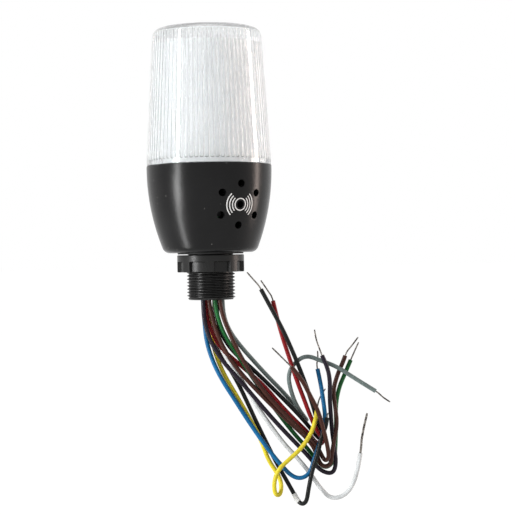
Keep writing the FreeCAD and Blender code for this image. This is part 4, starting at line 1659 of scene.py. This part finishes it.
@dataclass
class SoundMark:
    """Printed sign of the sounder: a ring round the middle hole and three arcs on each side of it."""

    line: float = 0.5 * MM
    ring: float = 2.65 * MM
    arcs: tuple[float, ...] = (3.9 * MM, 5.2 * MM, 6.5 * MM)
    spread: float = math.radians(46.0)
    ink: float = 0.045 * MM
    sunk: float = 0.03 * MM
    step: float = 0.25 * MM

    def stroke(
        self, shape: bmesh.types.BMesh, drop: Callable[[float, float, float], Vector],
        radius: float, first: float, last: float,
    ) -> None:
        """Adds one curved line of ink.

        Args:
            shape: the mesh.
            drop: puts a place on the sign onto the housing, at a height above it.
            radius: the radius of the line's middle.
            first: the angle that it starts at, in radians.
            last: the angle that it ends at.
        """
        whole = last - first > TURN - 0.01
        count = max(8, int((last - first) * radius / self.step))
        stations: list[Ring] = []
        for i in range(count if whole else count + 1):
            angle = first + (last - first) * i / count
            half = self.line / 2
            corners = (
                (radius - half, -self.sunk), (radius - half + self.sunk, self.ink),
                (radius + half - self.sunk, self.ink), (radius + half, -self.sunk),
            )
            stations.append([
                shape.verts.new(drop(size * math.cos(angle), size * math.sin(angle), height))
                for size, height in corners
            ])
        following = stations[1:] + (stations[:1] if whole else [])
        for first_ring, second_ring in zip(stations, following):
            skin(shape, first_ring, second_ring)
        if not whole:
            shape.faces.new(stations[0])
            shape.faces.new(stations[-1])

    def build(self, housing: Housing, cup: bpy.types.Object) -> bpy.types.Object:
        """Lays the sign on the housing.

        Args:
            housing: the sizes of the housing.
            cup: its finished piece.

        Returns:
            The finished sign.
        """
        tree = BVHTree.FromObject(cup, bpy.context.evaluated_depsgraph_get())
        out, right, up = housing.facing()
        middle = housing.sound_middle()

        def drop(across: float, upward: float, height: float) -> Vector:
            """Returns a place of the sign on the housing."""
            start = middle + right * across + up * upward + out * 0.02
            hit, normal, _, _ = tree.ray_cast(start, -out)
            return hit + normal * height

        shape = bmesh.new()
        self.stroke(shape, drop, self.ring, 0.0, TURN)
        for radius_of_arc in self.arcs:
            for side in (0.0, math.pi):
                self.stroke(shape, drop, radius_of_arc, side - self.spread, side + self.spread)
        bmesh.ops.recalc_face_normals(shape, faces=shape.faces)
        piece = solid("sound_mark", shape, PrintedInk("mark_white").material(), 40.0)
        return place(piece, Body.LIGHT, "housing_black")


# Control points of the leads, in millimetres, from the potting to the insulation's end.
LEAD_ROUTES: dict[str, list[Point]] = {
    "lead_violet": [
        (-3.7, -3.4, -14.6), (-3.7, -3.4, -22.6), (-3.3, -3.5, -31.5), (-0.5, -3.5, -40.8),
        (4.9, -3.4, -49.7), (12.0, -3.2, -57.8), (19.4, -2.9, -66.8), (27.0, -1.9, -76.1),
        (35.3, -0.2, -85.4), (43.1, 1.4, -93.8), (48.4, 3.0, -100.9), (54.2, 3.0, -102.6),
        (55.9, 2.6, -97.6), (55.0, 2.4, -89.6), (54.1, 2.0, -82.6), (53.7, 1.0, -75.6),
        (53.2, -0.6, -67.5), (53.5, -1.4, -59.1), (52.3, -1.6, -52.7), (50.0, -1.6, -47.7),
    ],
    "lead_black": [
        (2.5, -1.2, -14.6), (2.5, -1.2, -22.1), (2.6, -0.8, -30.1), (4.5, 0.4, -38.2),
        (9.8, 1.6, -46.0), (16.9, 2.2, -52.3), (23.9, 2.4, -59.2), (31.6, 1.6, -67.0),
        (39.1, 1.4, -74.9), (44.0, 3.8, -81.0), (48.6, 9.1, -87.5), (52.3, 5.8, -87.1),
        (48.2, 3.4, -81.1), (46.0, 1.0, -72.4), (43.1, -1.2, -62.8), (39.6, -2.6, -53.1),
        (36.0, -3.6, -44.0), (32.0, -3.9, -34.8), (27.1, -3.9, -25.5), (22.7, -3.9, -17.0),
    ],
    "lead_red": [
        (-2.5, -1.2, -14.6), (-2.5, -1.2, -22.6), (-2.1, -1.2, -30.1), (0.4, -1.2, -37.4),
        (4.4, -0.5, -44.1), (10.3, 1.0, -49.6), (16.8, 1.5, -55.3), (23.9, 0.8, -61.8),
        (30.5, -0.4, -69.9), (37.8, 1.0, -77.9), (43.1, 3.4, -83.2), (47.2, 6.4, -89.0),
        (50.6, 3.2, -88.3), (47.1, 1.4, -82.0), (44.3, 0.8, -75.6), (41.6, 0.0, -67.9),
        (38.3, -0.8, -58.9), (35.3, -1.2, -49.2), (32.3, -1.4, -39.6), (29.8, -1.5, -30.3),
        (28.1, -1.6, -22.4),
    ],
    "lead_brown_1": [
        (-1.2, -3.7, -14.6), (-1.1, -3.7, -22.6), (0.6, -3.7, -30.6), (3.1, -3.6, -39.1),
        (7.3, -3.5, -47.1), (12.8, -3.2, -55.0), (19.7, -2.8, -62.6), (27.5, -2.0, -70.9),
        (35.2, 0.0, -78.6), (42.3, 2.6, -85.4), (46.4, 3.4, -91.0), (48.6, 0.9, -98.7),
        (53.1, -0.2, -98.2), (53.7, -0.2, -93.2), (54.9, -0.7, -86.8), (56.4, -1.2, -79.0),
        (55.7, 0.8, -71.0), (54.9, 2.1, -64.0), (57.2, 3.0, -56.6), (59.7, 3.5, -51.5),
        (60.9, 3.5, -48.3),
    ],
    "lead_brown_2": [
        (3.7, -3.4, -14.6), (3.8, -3.4, -22.1), (5.4, -3.5, -29.9), (8.7, -3.6, -38.0),
        (12.7, -3.6, -47.0), (18.0, -3.7, -55.9), (24.2, -3.9, -64.8), (32.3, -3.6, -73.6),
        (40.1, -2.0, -81.7), (45.9, 0.8, -87.0), (48.7, 1.0, -92.5), (50.5, 0.0, -96.1),
        (52.4, -3.6, -94.3), (51.6, -5.2, -88.3), (50.0, -6.0, -81.1), (47.7, -6.1, -72.5),
        (43.8, -6.1, -64.8), (40.2, -6.1, -57.5), (35.9, -6.1, -52.4),
    ],
    "lead_green": [
        (1.4, -3.7, -14.6), (1.5, -3.7, -22.6), (3.3, -3.2, -31.3), (6.1, -2.2, -38.5),
        (10.8, -1.4, -45.8), (16.8, -1.3, -55.1), (23.2, -0.4, -65.0), (29.7, 1.2, -74.1),
        (36.3, 2.2, -83.1), (42.8, 3.6, -90.6), (47.1, 5.2, -96.4), (51.2, 5.6, -100.5),
        (55.3, 5.2, -96.6), (55.8, 4.8, -88.6), (56.2, 4.0, -79.6), (56.1, 4.0, -71.2),
        (57.7, 4.6, -63.2), (60.8, 5.4, -56.5), (63.5, 5.8, -50.5),
    ],
    "lead_yellow": [
        (-1.4, 1.3, -14.6), (-1.4, 1.3, -22.6), (-1.2, 1.3, -31.6), (-0.1, 1.3, -39.8),
        (1.9, 1.2, -48.2), (5.8, 1.0, -57.1), (11.2, 0.8, -66.4), (16.8, 0.6, -76.5),
        (21.7, 0.2, -86.2), (24.7, 0.0, -95.3), (28.9, -0.2, -101.4), (30.6, -1.0, -106.0),
        (30.0, -2.8, -110.8), (27.5, -5.0, -110.4), (27.0, -5.8, -104.8), (28.9, -5.8, -99.0),
        (33.9, -5.2, -94.6), (40.0, -4.9, -89.3), (44.9, -4.4, -82.0), (46.7, -3.2, -75.6),
        (47.4, -2.0, -71.8),
    ],
    "lead_blue": [
        (-4.3, 1.0, -14.6), (-3.8, 1.0, -22.6), (-3.4, 1.0, -31.5), (-2.6, 0.3, -40.6),
        (0.1, -0.4, -49.6), (4.3, -0.9, -58.3), (10.0, -1.2, -67.4), (16.0, -1.8, -77.1),
        (22.6, -2.5, -87.0), (29.3, -2.8, -95.9), (36.6, -2.4, -103.9), (43.4, -1.8, -102.4),
        (46.1, -1.5, -93.2), (49.3, -1.2, -84.9), (51.2, -0.8, -76.7), (50.2, 0.2, -67.5),
        (49.2, 1.6, -60.1), (48.0, 2.6, -54.1),
    ],
    "lead_black_2": [
        (-1.6, 3.8, -14.6), (-1.6, 3.8, -22.6), (-1.0, 4.1, -31.6), (1.4, 4.6, -40.6),
        (5.5, 4.3, -49.7), (10.7, 2.8, -58.4), (15.0, 2.0, -67.5), (19.6, 1.9, -78.0),
        (24.2, 1.9, -87.8), (28.5, 1.7, -96.9), (34.9, 1.1, -108.4), (38.6, 0.0, -115.6),
        (41.7, -3.2, -114.6), (42.8, -3.7, -107.8), (44.6, -3.9, -99.6), (47.4, -3.9, -91.7),
        (49.1, -3.6, -84.1), (51.4, -3.4, -79.5), (51.7, -3.3, -75.9),
    ],
    "lead_white": [
        (1.3, 1.3, -14.6), (1.3, 1.3, -22.6), (1.2, 1.6, -31.6), (2.3, 2.2, -39.8), (5.5, 2.4, -47.1),
        (10.2, 0.8, -54.2), (14.9, -0.5, -61.1), (19.5, -0.2, -69.8), (25.8, 0.6, -79.3),
        (32.0, 1.0, -88.0), (38.3, 1.6, -94.9), (43.8, 2.0, -101.8), (48.3, 2.0, -108.7),
        (53.4, 1.6, -114.0), (60.6, 1.2, -111.7), (65.2, 1.0, -103.4), (66.9, 1.0, -92.8),
    ],
    "lead_grey": [
        (5.0, -0.9, -14.6), (5.0, -0.9, -21.6), (5.5, -0.6, -29.2), (8.1, 0.6, -36.3),
        (13.2, 1.8, -43.4), (19.1, 2.6, -50.3), (25.2, 3.6, -57.3), (31.5, 5.4, -64.0),
        (36.9, 8.2, -70.5), (42.4, 9.6, -77.4), (43.0, 4.9, -78.2), (38.1, 3.4, -71.1),
        (35.5, 2.0, -63.6), (34.4, 1.5, -56.6), (37.3, 1.6, -51.1), (42.9, 1.4, -47.6),
        (49.7, 1.2, -50.3), (56.7, 0.6, -53.0), (65.2, 0.6, -58.8), (74.3, 0.8, -64.6),
    ],
}

# Control points of the bare ends, in millimetres.
BARE_ROUTES: dict[str, list[Point]] = {
    "strands_violet": [
        (50.0, -1.6, -47.7), (48.4, -1.6, -43.3), (47.2, -1.6, -39.4), (46.8, -1.6, -35.9),
    ],
    "strands_black": [
        (22.7, -3.9, -17.0), (21.9, -3.9, -15.4), (19.7, -4.0, -13.0), (16.5, -4.2, -9.2),
    ],
    "strands_red": [
        (28.1, -1.6, -22.4), (27.7, -1.6, -20.6), (26.1, -1.6, -18.2), (22.7, -1.7, -13.0),
    ],
    "strands_brown_1": [
        (60.9, 3.5, -48.3), (61.5, 3.5, -46.6), (63.0, 3.6, -44.9), (65.0, 3.6, -42.5),
        (67.0, 3.6, -39.9),
    ],
    "strands_brown_2": [
        (35.9, -6.1, -52.4), (31.9, -6.0, -48.2), (27.3, -6.0, -43.6),
    ],
    "strands_green": [
        (63.5, 5.8, -50.5), (65.2, 6.0, -46.7), (67.3, 6.1, -42.4),
    ],
    "strands_yellow": [
        (47.4, -2.0, -71.8), (47.7, -1.5, -70.1), (48.2, 0.0, -68.4), (49.2, 2.0, -66.6),
        (50.4, 2.9, -64.8), (51.5, 3.1, -63.3),
    ],
    "strands_blue": [
        (48.0, 2.6, -54.1), (47.7, 2.9, -52.4), (48.0, 3.4, -50.4), (48.4, 3.6, -48.2),
        (48.2, 3.6, -45.9),
    ],
    "strands_black_2": [
        (51.7, -3.3, -75.9), (51.8, -3.3, -74.8), (52.3, -3.2, -73.7),
    ],
    "strands_white": [
        (66.9, 1.0, -92.8), (67.2, 1.0, -91.0), (67.7, 1.0, -84.8), (70.3, 1.0, -74.6),
    ],
    "strands_grey": [
        (74.3, 0.8, -64.6), (75.8, 0.8, -65.6), (76.9, 0.8, -66.8), (78.6, 0.8, -68.2),
        (80.9, 0.8, -69.7),
    ],
}


@dataclass(frozen=True)
class Wire:
    """One lead of the light."""

    name: str
    finish: str
    colour: Colour
    length: float
    strand: float = 0.36 * MM


WIRES: tuple[Wire, ...] = (
    Wire("violet", "wire_violet", (0.012, 0.008, 0.016), 165.5 * MM),
    Wire("black", "wire_black", (0.005, 0.006, 0.006), 172.4 * MM),
    Wire("red", "wire_red", (0.2, 0.005, 0.008), 167.4 * MM),
    Wire("brown_1", "wire_brown", (0.045, 0.014, 0.009), 156.8 * MM),
    Wire("brown_2", "wire_brown", (0.045, 0.014, 0.009), 146.3 * MM),
    Wire("green", "wire_green", (0.01, 0.1, 0.024), 153.9 * MM),
    Wire("yellow", "wire_yellow", (0.6, 0.5, 0.03), 151.6 * MM),
    Wire("blue", "wire_blue", (0.004, 0.1, 0.24), 157.0 * MM),
    Wire("black_2", "wire_black", (0.005, 0.006, 0.006), 153.5 * MM),
    Wire("white", "wire_white", (0.56, 0.58, 0.585), 142.6 * MM, 0.55 * MM),
    Wire("grey", "wire_grey", (0.13, 0.165, 0.16), 151.4 * MM),
)


@dataclass
class BareEnd:
    """Stripped end of a lead: one straight strand with six others laid round it."""

    radius: float
    lay: float = 7.0 * MM
    step: float = 0.25 * MM
    strands: int = 6
    sides: int = 7
    fray: float = 1.2 * MM

    def taper(self, share: float) -> float:
        """Returns a strand's radius at a share of its length; it thins near its end."""
        return self.radius / 3.0 * min(1.0, 0.5 + 6.0 * (1.0 - share))

    def build(self, name: str, route: list[Point], material: bpy.types.Material) -> bpy.types.Object:
        """Makes the bare end.

        Args:
            name: what the object is called.
            route: the control points of its middle line.
            material: its finish.

        Returns:
            The finished piece.
        """
        line = even(walk(route), self.step)
        shape = bmesh.new()
        thin = self.radius / 3.0
        add_tube(shape, line, self.taper, self.sides)
        frame_of = frames(line)
        reach = len(line) * self.step
        for k in range(self.strands):
            spots = []
            for i, (spot, (_, side, other)) in enumerate(zip(line, frame_of)):
                angle = TURN * (k / self.strands + i * self.step / self.lay)
                loose = 1.0 - 0.25 * max(0.0, (i * self.step - reach + self.fray) / self.fray)
                out = 2.0 * thin * loose
                spots.append(spot + side * (out * math.cos(angle)) + other * (out * math.sin(angle)))
            add_tube(shape, spots, self.taper, self.sides)
        bmesh.ops.recalc_face_normals(shape, faces=shape.faces)
        return solid(name, shape, material, 60.0)


@dataclass
class Sleeve:
    """Short clear sleeve on the second black lead."""

    radius: float = 1.24 * MM
    wall: float = 0.2 * MM
    length: float = 4.8 * MM
    step: float = 0.2 * MM
    waviness: float = 0.02
    wave_turn: float = 1.1
    sides: int = 28

    def build(self, material: bpy.types.Material) -> bpy.types.Object:
        """Makes the sleeve where the frame has it.

        Args:
            material: its finish.

        Returns:
            The finished piece.
        """
        low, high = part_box("lead_sleeve")
        middle = (low + high) / 2
        line = even(walk(metres(LEAD_ROUTES["lead_black_2"])), self.step)
        nearest = min(range(len(line)), key=lambda i: (line[i] - middle).length)
        half = int(self.length / 2 / self.step)
        run = line[nearest - half: nearest + half + 1]
        shape = bmesh.new()
        walls: list[list[Ring]] = []
        for size in (self.radius, self.radius - self.wall):
            rings = []
            for i, (spot, (_, side, other)) in enumerate(zip(run, frames(run))):
                wave = size * (1.0 + self.waviness * math.sin(i * self.wave_turn))
                rings.append(round_ring(shape, spot, side * wave, other * wave, self.sides))
            walls.append(rings)
        outer, inner = walls
        for rings in walls:
            for first, second in zip(rings, rings[1:]):
                skin(shape, first, second)
        for end in (0, -1):
            skin(shape, outer[end], inner[end])
        bmesh.ops.recalc_face_normals(shape, faces=shape.faces)
        return solid("lead_sleeve_clear", shape, material, 50.0)


@dataclass
class Leads:
    """The eleven loose leads, with their bare ends and the sleeve on one of them."""

    radius: float = 1.0 * MM
    wires: tuple[Wire, ...] = WIRES
    finishes: dict[str, bpy.types.Material] = field(default_factory=dict)

    def finish(self, wire: Wire) -> bpy.types.Material:
        """Returns the insulation's material, made once for each colour."""
        if wire.finish not in self.finishes:
            self.finishes[wire.finish] = Insulation(wire.finish, wire.colour).material()
        return self.finishes[wire.finish]

    def build(self) -> list[bpy.types.Object]:
        """Returns the leads."""
        tinned = TinnedCopper("strand_tinned").material()
        made = []
        for wire in self.wires:
            route = metres(LEAD_ROUTES[f"lead_{wire.name}"])
            lead = spline_curve(f"wire_{wire.name}", route)
            lead.data.bevel_depth = self.radius
            lead.data.bevel_resolution = 4
            lead.data.use_fill_caps = True
            lead.data.materials.append(self.finish(wire))
            place(lead, Body.LIGHT, wire.finish, f"lead_{wire.name}")
            bare = BareEnd(wire.strand).build(
                f"bare_{wire.name}", metres(BARE_ROUTES[f"strands_{wire.name}"]), tinned
            )
            place(bare, Body.LIGHT, "strand_tinned", f"strands_{wire.name}")
            if wire.name == "black_2":
                sleeve = Sleeve().build(MilkySleeve("sleeve_clear").material())
                place(sleeve, Body.LIGHT, "sleeve_clear", "lead_sleeve")
            made.append(lead)
        return made


@dataclass
class CarriedNodes:
    """The parts of the frame whose shapes stay, and the finishes that they get."""

    led_pitch: float = 9.0 * MM
    led_first: float = 48.4 * MM
    led_column: float = 7.0 * MM

    def build(self) -> None:
        """Gives every carried node its finish."""
        white = WhitePlastic("inner_white").material()
        component = Component("component_black").material()
        rubber = Rubber("gasket_rubber").material()
        finishes = {
            "panel_gasket": rubber,
            "lens_seal": rubber,
            "led_carrier": white,
            "diffuser": WhitePlastic("diffuser_opal", (0.83, 0.843, 0.847), 0.5).material(),
            "led_board": SolderMask("board_white", (0.8, 0.8, 0.8), (0.7, 0.7, 0.68)).material(),
            "driver_board": SolderMask("board_green", (0.012, 0.16, 0.05), (0.03, 0.28, 0.09)).material(),
            "leds": LedPackage("led_package", self.led_pitch, self.led_first, self.led_column).material(),
            "driver_parts": component,
            "board_link": component,
            "buzzer": component,
            "board_screws": ZincScrew("screw_steel").material(),
            "lead_potting": CastResin("potting_resin").material(),
        }
        for node, material in finishes.items():
            dress(node, material)


@dataclass(frozen=True)
class SoftBox:
    """A rectangular lamp, with its power in watts."""

    name: str
    spot: Point
    width: float
    height: float
    power: float
    aim: Point = (0.0, 0.0, 0.03)
    colour: Colour = (1.0, 1.0, 1.0)


LAMPS: tuple[SoftBox, ...] = (
    SoftBox("left_box", (-0.5, -0.33, 0.06), 0.05, 0.7, 4.1),
    SoftBox("low_box", (-0.15, -0.09, -0.045), 0.02, 0.16, 0.2, aim=(-0.015, -0.02, 0.01)),
    SoftBox("right_box", (0.6, 0.09, 0.05), 0.1, 0.6, 2.4, colour=(1.0, 0.82, 0.74)),
    SoftBox("top_box", (0.0, -0.25, 0.75), 0.7, 0.5, 1.2),
)


@dataclass
class Studio:
    """White studio: a pale floor, soft lamps, white surroundings and the camera."""

    floor: float = -135.0 * MM
    floor_size: float = 40.0
    eye: Point = (0.0214, -0.686, -0.0026)
    roll: float = math.radians(1.0)
    lens: float = 105.0
    ambient: float = 0.55

    def background(self, tree: Tree) -> Signal:
        """Returns 1 for what the camera sees directly, in gloss and through clear plastic, else 0."""
        path = tree.node("ShaderNodeLightPath")
        seen = tree.signal(path, "Is Camera Ray") + tree.signal(path, "Is Glossy Ray")
        return (seen + tree.signal(path, "Is Transmission Ray")).held()

    def world(self) -> None:
        """Makes the surroundings: white where they are seen, softer where they light."""
        world = bpy.data.worlds.new("studio")
        bpy.context.scene.world = world
        world.use_nodes = True
        world.node_tree.nodes.clear()
        tree = Tree(world.node_tree)
        seen = tree.node("ShaderNodeBackground", None, {"Color": plain((1.0, 1.0, 1.0)), "Strength": 1.0})
        light = tree.node(
            "ShaderNodeBackground", None, {"Color": plain((1.0, 1.0, 1.0)), "Strength": self.ambient}
        )
        both = tree.node(
            "ShaderNodeMixShader", None,
            {0: self.background(tree), 1: light.outputs[0], 2: seen.outputs[0]},
        )
        tree.node("ShaderNodeOutputWorld", None, {"Surface": both.outputs[0]})

    def ground(self) -> None:
        """Makes the floor, which keeps the light's soft shadow."""
        shape = bmesh.new()
        bmesh.ops.create_grid(shape, x_segments=8, y_segments=8, size=self.floor_size / 2)
        bmesh.ops.translate(shape, verts=shape.verts, vec=(0.0, 0.0, self.floor))
        paint = Paint("floor_white")
        tree = paint.tree
        cloud = tree.noise(tree.place(), 3.0, 2.0)
        pale = tree.blend(cloud, (0.84, 0.84, 0.84), (0.86, 0.86, 0.86))
        matte = tree.node("ShaderNodeBsdfDiffuse", None, {"Color": pale})
        glow = tree.node("ShaderNodeEmission", None, {"Color": plain((1.0, 1.0, 1.0)), "Strength": 1.1})
        both = tree.node(
            "ShaderNodeMixShader", None,
            {0: self.background(tree) * 0.85, 1: matte.outputs[0], 2: glow.outputs[0]},
        )
        floor = solid("floor", shape, paint.close(both.outputs[0]))

    def add_lamp(self, lamp: SoftBox) -> None:
        """Adds a soft box.

        Args:
            lamp: its place, size and light.
        """
        data = bpy.data.lights.new(lamp.name, "AREA")
        data.shape = "RECTANGLE"
        data.size, data.size_y, data.energy = lamp.width, lamp.height, lamp.power
        data.color = lamp.colour
        made = bpy.data.objects.new(lamp.name, data)
        bpy.context.scene.collection.objects.link(made)
        made.location = lamp.spot
        made.rotation_euler = (Vector(lamp.aim) - Vector(lamp.spot)).to_track_quat("-Z", "Y").to_euler()

    def camera(self) -> None:
        """Adds the camera, square to the front and rolled a little."""
        data = bpy.data.cameras.new("camera")
        data.lens, data.sensor_width = self.lens, 36.0
        data.clip_start, data.clip_end = 0.01, 60.0
        made = bpy.data.objects.new("camera", data)
        bpy.context.scene.collection.objects.link(made)
        made.location = self.eye
        made.rotation_euler = (math.radians(90.0), self.roll, 0.0)
        bpy.context.scene.camera = made

    def build(self) -> None:
        """Sets the studio up."""
        self.camera()
        self.world()
        self.ground()
        for lamp in LAMPS:
            self.add_lamp(lamp)
        bpy.context.scene.view_settings.view_transform = "Standard"
        LOG.info("studio: camera, surroundings, floor and %d soft boxes", len(LAMPS))


def main() -> None:
    """Builds the light in its studio."""
    logging.basicConfig(level=logging.INFO, format="%(message)s")
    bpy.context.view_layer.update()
    Studio().build()
    CarriedNodes().build()
    Leads().build()
    Lens().build()
    Stem().build()
    LockNut().build()
    housing = Housing()
    SoundMark().build(housing, housing.build())


if __name__ == "__main__":
    main()
